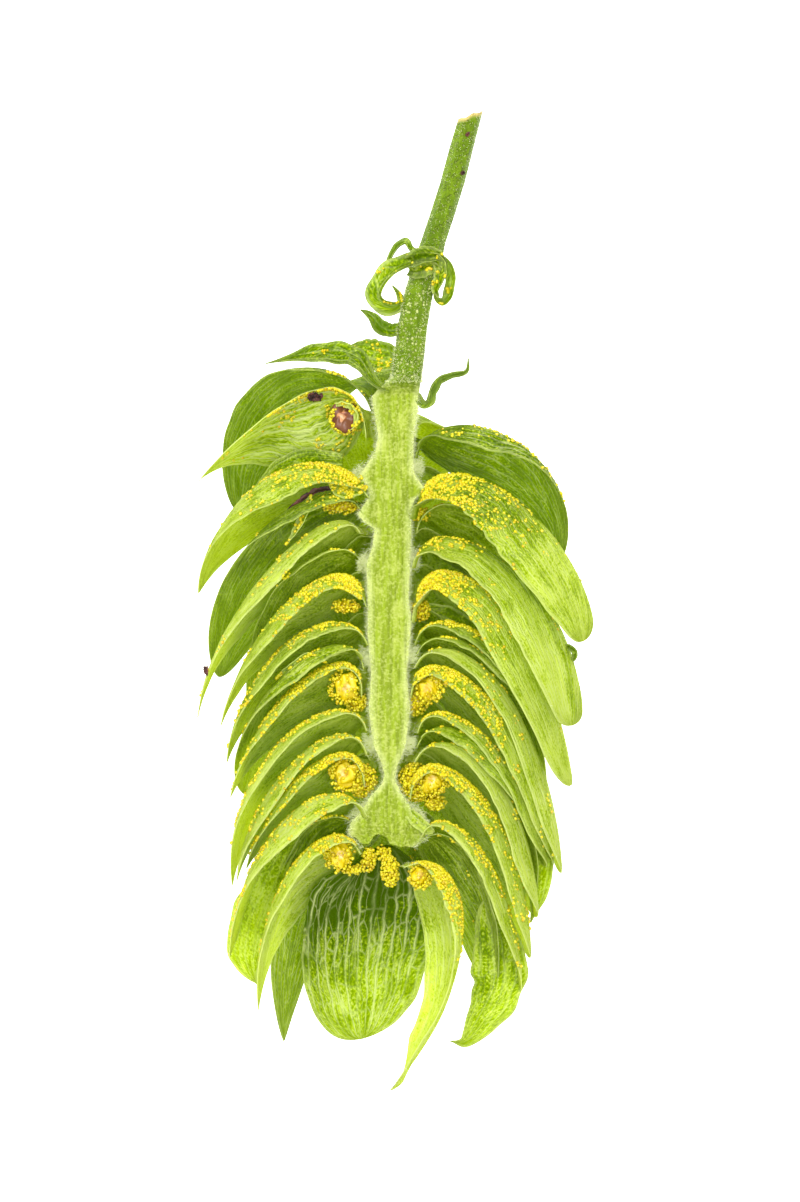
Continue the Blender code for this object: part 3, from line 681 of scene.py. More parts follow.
def bract_relief(row, column, chance):
    """Height of a bract over its smooth surface: a midrib and side veins, as bell curves across it, and
    ripples as sums of sines, all fading towards its foot and tip."""
    inside = np.sin(math.pi * np.clip(row, 0.0, 1.0)) ** 0.5
    depth, width = MIDRIB
    lift = -depth * np.exp(-((column / width) ** 2)) * (1.0 - row)
    depth, width = SIDE_VEIN
    for vein in SIDE_VEINS:
        bend = vein + VEIN_WANDER * waves(row, chance, 2, 0.5, 1.5)
        lift = lift - depth * np.exp(-(((column - bend) / width) ** 2)) * (1.0 - 0.6 * row)
    lift = lift + RIPPLE_ALONG * waves(row + 0.12 * column, chance, 3, 2.0, 6.0) * np.cos(2.2 * column)
    lift = lift + RIPPLE_ACROSS * waves(column * 0.5 + 0.2 * row, chance, 3, 1.5, 4.5) * inside
    edge = smooth_step(np.abs(column), 0.62, 1.0)
    lift = lift + RIPPLE_MARGIN * edge * waves(row, chance, 3, 3.0, 9.0) * inside
    return lift * inside


@functools.lru_cache(maxsize=None)
def bract_sheet(name, rows, columns, thickness):
    """A bract: for each row the angles from one margin to the other on its nested surface, then bent, and
    lifted along its normal by its relief."""
    bract = BRACTS[name]
    chance = np.random.default_rng(100 + bract_seed(name))
    step, column = leaf_grid(rows, columns)
    share = FOOT + (1.0 - FOOT) * (1.0 - (1.0 - step) ** ROW_POWER)
    row = np.maximum(share, 0.0)
    along = bract.run * row**LINE_POWER + np.minimum(share, 0.0)
    spine = cone_point(bract.height, along, np.full_like(row, math.radians(bract.middle)))
    radius = np.maximum(np.hypot(spine[..., 0], spine[..., 2]), LEAST_RADIUS)
    low, high = margin_angles(bract, share, radius, chance)
    angle = low + (column + 1.0) / 2.0 * (high - low)
    past = angle - math.pi if bract.middle > 90 else -angle
    points = cone_point(bract.height, along, angle)
    bend_bract(points, bract, row, along, past)
    points = points + unit(area_vectors(points)) * bract_relief(row, column, chance)[..., None]
    points[..., 2] = np.maximum(points[..., 2], thickness - FLOOR_DEPTH)
    # The rise darkens a bract's foot and lightens its tip; on the wide tip bract it paints shade.
    tone = bract.tone + bract.rise * (smooth_step(row, *RISE_ROWS) - 0.5)
    # Painted shade of the fold: the far side, behind the cut edge, changes tone by this amount.
    tone = tone + bract.band * smooth_step(-past, *FOLD_SHADE_SPAN)
    sheet = Sheet(points, row, column, bract.half_width, tone, thickness)
    sheet.past = past
    sheet.veins = bract.veins * smooth_step(row, *VEIN_ROWS)
    return sheet


def smooth_route(points, share):
    """A smooth curve through the points (Catmull-Rom), read at an array of shares from 0 to 1."""
    points = np.array(points, float)
    ends = np.vstack([2 * points[0] - points[1], points, 2 * points[-1] - points[-2]])
    place = np.clip(share, 0.0, 1.0) * (len(points) - 1)
    step = np.minimum(place.astype(int), len(points) - 2)
    t = (place - step)[..., None]
    before, start, end, after = (ends[step + offset] for offset in range(4))
    return 0.5 * (
        2 * start
        + (end - before) * t
        + (2 * before - 5 * start + 4 * end - after) * t**2
        + (3 * start - before - 3 * end + after) * t**3
    )


# A blade's least half width, how much its margins waver and ripple, and the step over which its route's
# heading is read.
BLADE_LEAST = 0.02
BLADE_WAVER = 0.05
BLADE_RIPPLE = 0.03
HEADING_STEP = 0.01


def blade_sheet(spec, rows, columns, thickness, seed):
    """A small blade: its route, and across it a width that leans out of the cut plane and is cupped."""
    route, half_width, lean, cup, tone, foot, _, swell = spec
    chance = np.random.default_rng(seed)
    row, column = leaf_grid(rows, columns)
    spine = smooth_route(route, row)
    heading = unit(smooth_route(route, row + HEADING_STEP) - smooth_route(route, row - HEADING_STEP))
    lean = math.radians(lean)
    side = np.stack([-heading[..., 1], heading[..., 0], np.zeros_like(row)], -1) * math.cos(lean)
    side[..., 2] += math.sin(lean)
    swelled = foot + (1.0 - foot) * np.sin(math.pi * row**swell)
    width = half_width * swelled * (1.0 - row**4) + BLADE_LEAST
    width = width * (1.0 + BLADE_WAVER * waves(row, chance, 3, 2.0, 7.0))
    points = spine + side * (column * width)[..., None]
    facing = np.cross(heading, side)
    bend = cup * (column**2 - 0.4) * width / half_width
    bend = bend + BLADE_RIPPLE * waves(row, chance, 3, 2.0, 6.0) * np.abs(column)
    points = points + facing * bend[..., None]
    return Sheet(points, row, column, half_width, tone, thickness)


def read_grid(values, row, column):
    """Values of a grid between its points, for arrays of fractional rows and columns (bilinear)."""
    row = np.clip(row, 0.0, values.shape[0] - 1.001)
    column = np.clip(column, 0.0, values.shape[1] - 1.001)
    low_row, low_column = row.astype(int), column.astype(int)
    down, right = (row - low_row)[:, None], (column - low_column)[:, None]
    flat = values.reshape(values.shape[0], values.shape[1], -1)
    near = flat[low_row, low_column] * (1 - right) + flat[low_row, low_column + 1] * right
    far = flat[low_row + 1, low_column] * (1 - right) + flat[low_row + 1, low_column + 1] * right
    return near * (1 - down) + far * down


# ---------------------------------------------------------------- meshes


def add_piece(name, points, faces, material):
    """A mesh object from points in the cone's frame and an array of faces, placed in the world's frame."""
    mesh = bpy.data.meshes.new(name)
    points = (np.asarray(points).reshape(-1, 3) + PLACE) * MM
    size = faces.shape[1]
    mesh.vertices.add(len(points))
    mesh.vertices.foreach_set("co", points.ravel())
    mesh.loops.add(faces.size)
    mesh.loops.foreach_set("vertex_index", faces.ravel())
    mesh.polygons.add(len(faces))
    mesh.polygons.foreach_set("loop_start", np.arange(0, faces.size, size))
    mesh.update(calc_edges=True)
    mesh.validate()
    mesh.shade_smooth()
    mesh.materials.append(material)
    piece = bpy.data.objects.new(name, mesh)
    bpy.context.scene.collection.objects.link(piece)
    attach(piece, "root")
    return piece


def add_values(piece, name, values):
    """Puts one number or one vector for each vertex into the mesh, for the material to read."""
    values = np.asarray(values, np.float32)
    kind, key = ("FLOAT", "value") if values.ndim == 1 else ("FLOAT_VECTOR", "vector")
    layer = piece.data.attributes.new(name, kind, "POINT")
    layer.data.foreach_set(key, values.ravel())


def grid_faces(rows, columns):
    """Quads of a grid with rows x columns points, wound so that they face along its normals."""
    index = np.arange(rows * columns).reshape(rows, columns)
    corners = [index[:-1, :-1], index[1:, :-1], index[1:, 1:], index[:-1, 1:]]
    return np.stack(corners, -1).reshape(-1, 4)


def shell_faces(rows, columns):
    """Quads of two grids, the second turned over, closed round their rims."""
    faces = grid_faces(rows, columns)
    index = np.arange(rows * columns).reshape(rows, columns)
    rim = np.concatenate([index[:-1, 0], index[-1, :-1], index[:0:-1, -1], index[0, :0:-1]])
    other = rows * columns
    after = np.roll(rim, -1)
    walls = np.stack([rim, rim + other, after + other, after], -1)
    return np.concatenate([faces, faces[:, ::-1] + other, walls])


# The share of a leaf's thickness that is left at its margin, and the width over which it thins.
MARGIN_THICKNESS = 0.35
THINNED_WIDTH = 0.6
# Each leaf's skin starts at a random place within this many millimetres of the shared pattern.
PATTERN_SIZE = 40.0


def add_sheet(name, sheet, material, seed):
    """A closed thin shell: the sheet moved out and in along its normals, thinner towards its margin."""
    full = smooth_step(sheet.margin, 0.0, THINNED_WIDTH)
    thinned = sheet.thickness * (MARGIN_THICKNESS + (1.0 - MARGIN_THICKNESS) * full) / 2.0
    step = sheet.normals * thinned[..., None]
    points = np.stack([sheet.points + step, sheet.points - step]).reshape(-1, 3)
    points[:, 2] = np.maximum(points[:, 2], -FLOOR_DEPTH)
    piece = add_piece(name, points, shell_faces(*sheet.row.shape), material)
    shift = np.random.default_rng(seed).uniform(0.0, PATTERN_SIZE, 2)
    apart = max(1.0, np.max(sheet.veins))
    leaf = np.stack([sheet.across / apart, sheet.along / apart, np.zeros_like(sheet.across)], -1)
    leaf[..., :2] += shift
    add_values(piece, "leaf", np.tile(leaf.reshape(-1, 3), (2, 1)))
    add_values(piece, "inner", np.repeat([0.0, 1.0], sheet.row.size))
    for key in ("margin", "tone", "veins"):
        values = np.broadcast_to(getattr(sheet, key), sheet.row.shape)
        add_values(piece, key, np.tile(values.ravel(), 2))
    return piece


# The angle from a unit ball's pole at which its first ring of points lies.
POLE_RING = 0.12


def unit_ball(segments, rings):
    """Points and quads of a unit ball whose poles are small closed rings."""
    turn = np.linspace(0.0, 2.0 * math.pi, segments, endpoint=False)
    tilt = np.linspace(POLE_RING, math.pi - POLE_RING, rings)
    tilt, turn = np.meshgrid(tilt, turn, indexing="ij")
    points = np.stack([np.sin(tilt) * np.cos(turn), np.sin(tilt) * np.sin(turn), np.cos(tilt)], -1)
    index = np.arange(rings * segments).reshape(rings, segments)
    after = np.roll(index, -1, axis=1)
    faces = np.stack([index[:-1], index[1:], after[1:], after[:-1]], -1).reshape(-1, 4)
    caps = []
    for ring, turned in ((index[0], 1), (index[-1], -1)):
        for start in range(1, segments - 2, 2):
            caps.append([ring[0], ring[start], ring[start + 1], ring[start + 2]][::turned])
    return points.reshape(-1, 3), np.concatenate([faces, np.array(caps)])


def repeated_faces(faces, copies, size):
    """Faces of many copies of a shape with this size in points, one copy's points after the other's."""
    shifts = np.arange(copies) * size
    return (faces[None] + shifts[:, None, None]).reshape(-1, faces.shape[1])


def joined_copies(shape, faces, origins, frames):
    """One mesh of many copies of a shape: each copy's frame turns and sizes it, then moves it."""
    points = np.einsum("kj,nji->nki", shape, frames) + origins[:, None, :]
    return points.reshape(-1, 3), repeated_faces(faces, len(origins), len(shape))


def frames_along(directions):
    """For each unit direction, a right-handed frame whose third row is that direction."""
    helper = np.where(np.abs(directions[:, 2:]) > 0.9, [[1.0, 0.0, 0.0]], [[0.0, 0.0, 1.0]])
    first = unit(np.cross(helper, directions))
    return np.stack([first, np.cross(directions, first), directions], 1)


# ---------------------------------------------------------------- shader nodes


class Nodes:
    """A node tree with a short call for each common node. A value may be an output, which is linked."""

    def __init__(self, tree):
        self.tree = tree

    def feed(self, socket, value):
        if isinstance(value, bpy.types.NodeSocket):
            self.tree.links.new(value, socket)
        elif socket.type == "RGBA":
            socket.default_value = (*value, 1.0)
        else:
            socket.default_value = value

    def add(self, kind, inputs=(), **settings):
        node = self.tree.nodes.new("ShaderNode" + kind)
        for key, value in settings.items():
            setattr(node, key, value)
        for key, value in dict(inputs).items():
            self.feed(node.inputs[key], value)
        return node

    def math(self, operation, *values):
        return self.add("Math", enumerate(values), operation=operation).outputs[0]

    def span(self, value, start, end, low=0.0, high=1.0):
        """Goes smoothly from low to high as the value goes from start to end."""
        ends = {"From Min": start, "From Max": end, "To Min": low, "To Max": high}
        node = self.add("MapRange", {"Value": value, **ends}, interpolation_type="SMOOTHSTEP")
        return node.outputs["Result"]

    def mix(self, share, first, second):
        """A colour between two."""
        return self.add("Mix", {0: share, 6: first, 7: second}, data_type="RGBA").outputs[2]

    def noise(self, vector, scale, detail=2.0, roughness=0.5):
        inputs = {"Vector": vector, "Scale": scale, "Detail": detail, "Roughness": roughness}
        return self.add("TexNoise", inputs).outputs["Fac"]

    def scaled(self, vector, x, y):
        return self.add("Mapping", {"Vector": vector, "Scale": (x, y, 1.0)}).outputs[0]

    def attribute(self, name, output="Fac"):
        return self.add("Attribute", attribute_name=name).outputs[output]

    def ramp(self, value, *stops):
        """A colour read from a ramp, whose stops are (place, colour)."""
        node = self.add("ValToRGB", {"Fac": value})
        elements = node.color_ramp.elements
        elements.remove(elements[1])
        elements[0].position = stops[0][0]
        elements[0].color = (*stops[0][1], 1.0)
        for place, color in stops[1:]:
            elements.new(place).color = (*color, 1.0)
        return node.outputs["Color"]

    def place(self, name, build, vector, **values):
        """The outputs of a shared group, which the function builds where there is none yet."""
        group = bpy.data.node_groups.get(name) or build(name)
        return self.add("Group", {"Vector": vector, **values}, node_tree=group).outputs


class Skin(Nodes):
    """A new material with its Principled shader."""

    def __init__(self, name):
        self.material = bpy.data.materials.new(name)
        self.material.use_nodes = True
        super().__init__(self.material.node_tree)
        self.shader = self.tree.nodes["Principled BSDF"]

    def set(self, **values):
        """Feeds the shader's sockets, whose names have _ for a space."""
        for key, value in values.items():
            self.feed(self.shader.inputs[key.replace("_", " ")], value)

    def bump(self, height, strength, depth):
        """Bumps as deep as the depth, in millimetres."""
        node = self.add("Bump", {"Strength": strength, "Distance": depth * MM, "Height": height})
        self.set(Normal=node.outputs[0])

    def let_through(self, color, share):
        """Light that comes through a thin leaf or drop, mixed into its surface."""
        through = self.add("BsdfTranslucent", {"Color": color})
        mixed = self.add("MixShader", {0: share, 1: self.shader.outputs[0], 2: through.outputs[0]})
        self.feed(self.tree.nodes["Material Output"].inputs["Surface"], mixed.outputs[0])


def new_group(name, inputs, outputs):
    """A shader group that takes a vector and the inputs, each with its default, and gives numbers."""
    group = bpy.data.node_groups.new(name, "ShaderNodeTree")
    group.interface.new_socket("Vector", in_out="INPUT", socket_type="NodeSocketVector")
    for label, value in inputs.items():
        socket = group.interface.new_socket(label, in_out="INPUT", socket_type="NodeSocketFloat")
        socket.default_value = value
    for label in outputs:
        group.interface.new_socket(label, in_out="OUTPUT", socket_type="NodeSocketFloat")
    given = group.nodes.new("NodeGroupInput").outputs
    return Nodes(group), given, group.nodes.new("NodeGroupOutput").inputs


def vein_group(name):
    """Long veins side by side, and a net of fine veins between them, as a mask and as a height."""
    nodes, given, out = new_group(name, {"Spacing": 0.9, "Wander": 0.35, "Net": 0.5}, ("Veins", "Height"))
    vector = given["Vector"]
    drift = nodes.noise(nodes.scaled(vector, 0.8, 0.3), 1.0)
    apart = nodes.add("SeparateXYZ", {"Vector": vector}).outputs
    wander = nodes.math("MULTIPLY", nodes.math("SUBTRACT", drift, 0.5), given["Wander"])
    x = nodes.math("MULTIPLY_ADD", wander, 4.0, apart["X"])
    turns = nodes.math("DIVIDE", nodes.math("MULTIPLY", x, 2.0 * math.pi), given["Spacing"])
    wave = nodes.math("MULTIPLY_ADD", nodes.math("COSINE", turns), 0.5, 0.5)
    ridge = nodes.math("POWER", wave, 10.0)
    moved = nodes.add("CombineXYZ", {"X": x, "Y": apart["Y"]}).outputs[0]
    inputs = {"Vector": nodes.scaled(moved, 1.0, 0.34), "Scale": 2.3, "Randomness": 0.9}
    cells = nodes.add("TexVoronoi", inputs, feature="DISTANCE_TO_EDGE").outputs["Distance"]
    net = nodes.math("MULTIPLY", nodes.span(cells, 0.0, 0.075, 1.0, 0.0), given["Net"])
    patches = nodes.span(nodes.noise(vector, 0.7, 3.0), 0.35, 0.58, 0.3, 1.0)
    nodes.feed(out["Veins"], nodes.math("MULTIPLY", nodes.math("MAXIMUM", ridge, net), patches))
    nodes.feed(out["Height"], nodes.math("MAXIMUM", nodes.math("MULTIPLY", ridge, 0.8), net))
    return nodes.tree


def mottle_group(name):
    """Soft blotches, long streaks and fine grain, mixed to one value around a half."""
    nodes, given, out = new_group(name, {"Blotch": 0.6, "Streak": 2.4, "Grain": 14.0}, ("Value", "Grain"))
    vector = given["Vector"]
    blotch = nodes.noise(vector, given["Blotch"], 3.0)
    streak = nodes.noise(nodes.scaled(vector, 1.0, 0.14), given["Streak"], 4.0, 0.62)
    grain = nodes.noise(vector, given["Grain"])
    both = nodes.math("MULTIPLY", nodes.math("ADD", blotch, streak), 0.375)
    nodes.feed(out["Value"], nodes.math("MULTIPLY_ADD", grain, 0.25, both))
    nodes.feed(out["Grain"], grain)
    return nodes.tree


def fuzz_group(name):
    """Scattered pale granules of fine short hair, as a mask and as a height."""
    nodes, given, out = new_group(name, {"Scale": 9.0, "Cover": 0.5}, ("Mask", "Height"))
    cells = nodes.add("TexVoronoi", {"Vector": given["Vector"], "Scale": given["Scale"]})
    dots = nodes.span(cells.outputs["Distance"], 0.12, 0.5, 1.0, 0.0)
    limit = nodes.math("SUBTRACT", 1.0, given["Cover"])
    patches = nodes.math("SUBTRACT", nodes.noise(given["Vector"], 1.3, 4.0), limit)
    nodes.feed(out["Mask"], nodes.math("MULTIPLY", dots, nodes.span(patches, -0.12, 0.12)))
    nodes.feed(out["Height"], dots)
    return nodes.tree


# ---------------------------------------------------------------- materials


# Where the four greens of the bracts lie on the scale of tones.
GREEN_STOPS = (0.08, 0.42, 0.74, 1.0)


def leaf_material(colors):
    """Green leaf skin: tone from dark to pale, streaks, pale veins, a pale margin and fine hair, with a
    slightly paler inner side and a faint glow, both painted light.
    """
    found = bpy.data.materials.get("bract_skin")
    if found:
        return found
    skin = Skin("bract_skin")
    leaf = skin.attribute("leaf", "Vector")
    tone = skin.attribute("tone")
    veins = skin.place("hop_veins", vein_group, leaf, Spacing=0.66, Wander=0.15, Net=0.65)
    mottle = skin.place("hop_mottle", mottle_group, leaf, Blotch=0.7, Streak=3.0, Grain=6.5)
    fuzz = skin.place("hop_fuzz", fuzz_group, leaf, Scale=7.0, Cover=0.5)
    blotches = skin.math("MULTIPLY_ADD", mottle["Value"], 4.6, -2.32)
    grain = skin.math("MULTIPLY_ADD", mottle["Grain"], 1.8, -0.92)
    base = skin.math("ADD", skin.math("ADD", blotches, tone), grain)
    # The inner side of each leaf is painted a little paler: painted light for faces the lamps reach less.
    base = skin.math("MULTIPLY_ADD", skin.attribute("inner"), 0.04, base)
    greens = zip(GREEN_STOPS, (colors.leaf_dark, colors.leaf_mid, colors.leaf_light, colors.leaf_pale))
    streak = skin.noise(skin.scaled(leaf, 1.0, 0.07), 3.4, 3.0, 0.55)
    streaks = skin.math("MULTIPLY", skin.span(streak, 0.52, 0.64, 0.0, 0.85), tone)
    color = skin.mix(streaks, skin.ramp(base, *greens), colors.leaf_pale)
    vein_share = skin.math("MULTIPLY", veins["Veins"], skin.attribute("veins"))
    color = skin.mix(skin.math("MULTIPLY", vein_share, 0.95), color, (0.74, 0.80, 0.34))
    edge = skin.span(skin.attribute("margin"), 0.0, 0.22, 1.0, 0.0)
    color = skin.mix(skin.math("MULTIPLY", edge, tone), color, (0.74, 0.80, 0.30))
    hair = skin.math("MULTIPLY", skin.math("MULTIPLY", fuzz["Mask"], 0.5), tone)
    color = skin.mix(hair, color, colors.leaf_pale)
    skin.set(Base_Color=color, Roughness=skin.math("MULTIPLY_ADD", mottle["Grain"], 0.3, 0.34))
    height = skin.math("MULTIPLY_ADD", veins["Height"], -0.6, mottle["Grain"])
    height = skin.math("MULTIPLY_ADD", fuzz["Height"], 0.35, height)
    skin.bump(skin.math("MULTIPLY_ADD", streak, 1.5, height), 0.8, 0.13)
    # A faint green glow: painted light that lifts the shade deep between the bracts.
    skin.set(Specular_IOR_Level=0.03, Emission_Color=(0.34, 0.52, 0.0), Emission_Strength=0.11)
    skin.let_through(skin.mix(skin.span(tone, 0.1, 0.9), (0.26, 0.40, 0.0), (0.76, 0.86, 0.02)), 0.48)
    return skin.material


def stem_material(colors):
    """Stalk skin with pale granules, and the cut face with fibres along it and a whitish rim."""
    skin = Skin("stem_skin")
    place = skin.attribute("leaf", "Vector")
    cut = skin.attribute("cut")
    fibre = skin.noise(skin.scaled(place, 1.0, 0.09), 5.2, 5.0, 0.6)
    mottle = skin.place("hop_mottle", mottle_group, place, Blotch=0.8, Streak=3.0, Grain=7.0)
    fuzz = skin.place("hop_fuzz", fuzz_group, place, Scale=4.6, Cover=0.6)
    deep = tuple(0.66 * part for part in colors.strig)
    face = skin.mix(skin.span(fibre, 0.36, 0.64), deep, colors.strig)
    face = skin.mix(skin.span(mottle["Value"], 0.46, 0.62, 0.0, 0.6), face, (0.42, 0.49, 0.09))
    face = skin.mix(skin.span(mottle["Grain"], 0.46, 0.66, 0.0, 0.35), face, (0.46, 0.52, 0.14))
    rim = skin.span(skin.attribute("margin"), 0.0, 0.5, 0.8, 0.0)
    rim = skin.math("MULTIPLY", rim, skin.span(mottle["Value"], 0.36, 0.6, 0.45, 1.0))
    face = skin.mix(rim, face, (0.54, 0.60, 0.22))
    bark = skin.mix(skin.span(mottle["Value"], 0.38, 0.68), colors.stalk, (0.17, 0.27, 0.005))
    flecks = skin.math("MULTIPLY", fuzz["Mask"], skin.attribute("woolly"))
    bark = skin.mix(flecks, bark, (0.56, 0.63, 0.22))
    color = skin.mix(skin.attribute("dry"), skin.mix(cut, bark, face), (0.60, 0.46, 0.16))
    skin.set(Base_Color=color, Roughness=skin.math("MULTIPLY_ADD", mottle["Grain"], 0.3, 0.4))
    height = skin.math("MULTIPLY_ADD", fibre, 1.2, mottle["Grain"])
    granules = skin.math("MULTIPLY", fuzz["Height"], skin.math("SUBTRACT", 1.0, cut))
    skin.bump(skin.math("MULTIPLY_ADD", granules, 1.2, height), 0.9, 0.11)
    skin.set(Specular_IOR_Level=0.12)
    return skin.material


def gland_material(colors):
    """Resin drops: clear yellow to amber, each with its own shade."""
    skin = Skin("lupulin")
    shades = ((0.0, (0.60, 0.44, 0.0)), (0.45, colors.gland), (1.0, (0.74, 0.69, 0.01)))
    grain = skin.noise(skin.add("TexCoord").outputs["Object"], 9000.0)
    color = skin.ramp(skin.attribute("shade"), *shades)
    color = skin.mix(skin.span(grain, 0.4, 0.65, 0.0, 0.15), color, (0.86, 0.82, 0.16))
    skin.set(Base_Color=color, Roughness=skin.span(grain, 0.3, 0.7, 0.18, 0.4))
    skin.bump(grain, 0.3, 0.02)
    skin.let_through((0.84, 0.60, 0.0), 0.25)
    return skin.material


def hair_material():
    """Fine white hair, with a faint painted glow for the light that shines through hair."""
    skin = Skin("fine_hair")
    grain = skin.noise(skin.add("TexCoord").outputs["Object"], 900.0)
    skin.set(Base_Color=skin.mix(grain, (0.74, 0.80, 0.42), (0.93, 0.94, 0.74)), Roughness=0.55)
    # Painted light: a faint glow that keeps the hair pale where it lies in shade.
    skin.set(Emission_Color=(0.70, 0.78, 0.36), Emission_Strength=0.18)
    skin.let_through((0.93, 0.95, 0.66), 0.55)
    return skin.material


def flesh_material(name, shell, flesh, deep):
    """Cut ovary or seed: blotches of flesh and deep colour inside, the shell round it."""
    skin = Skin(name)
    noise = skin.noise(skin.add("TexCoord").outputs["Object"], 1900.0, 5.0)
    core = skin.mix(skin.span(noise, 0.42, 0.58), flesh, deep)
    border = skin.math("MULTIPLY_ADD", noise, 0.7, skin.math("SUBTRACT", skin.attribute("inside"), 0.35))
    color = skin.mix(skin.span(border, 0.35, 0.6), shell, core)
    skin.set(Base_Color=color, Roughness=skin.span(noise, 0.3, 0.7, 0.3, 0.55))
    skin.bump(noise, 0.7, 0.09)
    return skin.material


def scrap_material():
    """Dried brown tissue."""
    found = bpy.data.materials.get("dried_tissue")
    if found:
        return found
    skin = Skin("dried_tissue")
    noise = skin.noise(skin.add("TexCoord").outputs["Object"], 2200.0, 5.0)
    color = skin.mix(skin.span(noise, 0.35, 0.65), (0.035, 0.012, 0.008), (0.16, 0.045, 0.03))
    skin.set(Base_Color=color, Roughness=0.6)
    skin.bump(noise, 0.8, 0.06)
    return skin.material


def floor_material(color, glow):
    """An evenly pale table that gives out a little light, as a light table does."""
    skin = Skin("pale_floor")
    skin.set(Base_Color=color, Roughness=0.9, Specular_IOR_Level=0.1)
    skin.set(Emission_Color=(1.0, 1.0, 1.0), Emission_Strength=glow)
    return skin.material


# ---------------------------------------------------------------- operators


def sheet_of(name, sizes):
    """A bract's sheet with the sizes of the sidebar."""
    return bract_sheet(name, sizes.bract_rows, sizes.bract_columns, sizes.bract_thickness / MM)


def add_bracts_named(scene, *starts):
    """The bracts whose names begin with one of the starts, each in place of its solid."""
    material = leaf_material(scene.hop_colors)
    for name in BRACTS:
        if name.startswith(starts):
            sheet = sheet_of(name, scene.hop_sizes)
            piece = add_sheet(name + "_leaf", sheet, material, 700 + bract_seed(name))
            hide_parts(name)


class HOP_OT_add_front_bracts(bpy.types.Operator):
    """Add the bracts to the left and right of the strig"""

    bl_idname = "hop.add_front_bracts"
    bl_label = "Front Bracts"

    def execute(self, context):
        add_bracts_named(context.scene, "bract_left", "bract_right")
        return {"FINISHED"}


class HOP_OT_add_back_bracts(bpy.types.Operator):
    """Add the bracts behind the strig, which the cone rests on"""

    bl_idname = "hop.add_back_bracts"
    bl_label = "Back Bracts"

    def execute(self, context):
        add_bracts_named(context.scene, "bract_back")
        return {"FINISHED"}


class HOP_OT_add_tip_bracts(bpy.types.Operator):
    """Add the wide and the long bract at the cone's tip"""

    bl_idname = "hop.add_tip_bracts"
    bl_label = "Tip Bracts"

    def execute(self, context):
        add_bracts_named(context.scene, "bract_tip")
        return {"FINISHED"}


def stem_edges(y):
    """Left and right edges of the stem at an array of heights."""
    left, right = np.array(STEM_LEFT)[::-1], np.array(STEM_RIGHT)[::-1]
    return np.interp(y, left[:, 0], left[:, 1]), np.interp(y, right[:, 0], right[:, 1])


STEM_ROWS = 420
STEM_SIDES = 72
# The stalk's ridges: how many, their height as a share of the radius, and how far they turn in radians
# for each millimetre.
RIDGES = (6.0, 0.03, 0.3)
# The bumps of its skin, as a share of the radius, and the height of the fibres in the cut face.
SKIN_BUMPS = 0.035
FIBRE_HEIGHT = 0.022
# How high the cut face bulges in its middle, and how low its sides are.
CROWN = (0.10, 0.02)
CUT_HIGHEST = 0.1
# The arch at the strig's foot: its height, middle and half width, and how far the arms are cut back.
ARCH_AT_FOOT = (0.75, -0.75, 0.55)
RIGHT_ARM = (0.45, 1.0, 1.9)
LEFT_ARM = (0.5, 1.5, 2.1)
FOOT_SINKS = 0.35
# The heights between which the stalk's skin turns from bare to woolly.
WOOLLY_HEIGHTS = (20.5, 16.5)


def stem_surface(y, turn):
    """Rings down the stem: ellipses (half cos turn, depth sin turn) between its two edges, cut flat where
    the strig is open. Gives the points, how open each is, the half widths and the height of the top cut."""
    chance = np.random.default_rng(5)
    left, right = stem_edges(y)
    opened = smooth_step(y, CUT_RUNS_OUT[1], CUT_RUNS_OUT[0])
    depth = STALK_DEPTH + (STRIG_DEPTH - STALK_DEPTH) * opened
    half = (right - left) / 2.0
    bumps = 1.0 + SKIN_BUMPS * waves(y * 0.25 + turn * 0.5, chance, 5, 0.6, 3.0) * np.abs(np.sin(turn))
    count, height, slant = RIDGES
    ridges = 1.0 + height * np.cos(count * turn + slant * y) * (1.0 - opened)
    x = (left + right) / 2.0 + half * np.cos(turn) * ridges
    crown = CROWN[0] * (1.0 - np.cos(turn) ** 2) - CROWN[1]
    fibres = FIBRE_HEIGHT * waves(x + 0.04 * y, chance, 6, 0.6, 3.2)
    top = STALK_DEPTH * (1.0 - opened) + opened * np.minimum(crown + fibres, CUT_HIGHEST)
    z = np.minimum(depth * np.sin(turn) * bumps * ridges, top)
    slope = STEM_TOP + STEM_TOP_SLOPE * (x - STEM_LEFT[0][1]) + 0.05 * np.sin(9.0 * x)
    y = np.minimum(y, slope)
    height, middle, width = ARCH_AT_FOOT
    arch = STEM_FOOT + height * np.exp(-(((x - middle) / width) ** 2))
    arch = arch + RIGHT_ARM[0] * smooth_step(x, *RIGHT_ARM[1:])
    arch = arch + LEFT_ARM[0] * smooth_step(-x, *LEFT_ARM[1:]) + 0.05 * np.sin(11.0 * x)
    y = np.maximum(y, arch)
    sunk = FOOT_SINKS * opened * smooth_step(y, STEM_FOOT + 1.6, STEM_FOOT)
    z = z - sunk * np.where(z > -0.5, 1.0, 0.0)
    return np.stack([x, y, z], -1), opened, half, slope


def stem_faces(rows, sides):
    """Quads of the rings, and of the two ends, which are closed by strips from one side to the other."""
    index = np.arange(rows * sides).reshape(rows, sides)
    after = np.roll(index, -1, axis=1)
    faces = np.stack([index[:-1], after[:-1], after[1:], index[1:]], -1).reshape(-1, 4)
    ends = []
    for ring, turned in ((index[0], -1), (index[-1], 1)):
        for step in range(sides // 2 - 1):
            quad = [ring[step], ring[step + 1], ring[sides - 2 - step], ring[sides - 1 - step]]
            ends.append(quad[::turned])
    return np.concatenate([faces, np.array(ends)])[:, ::-1]


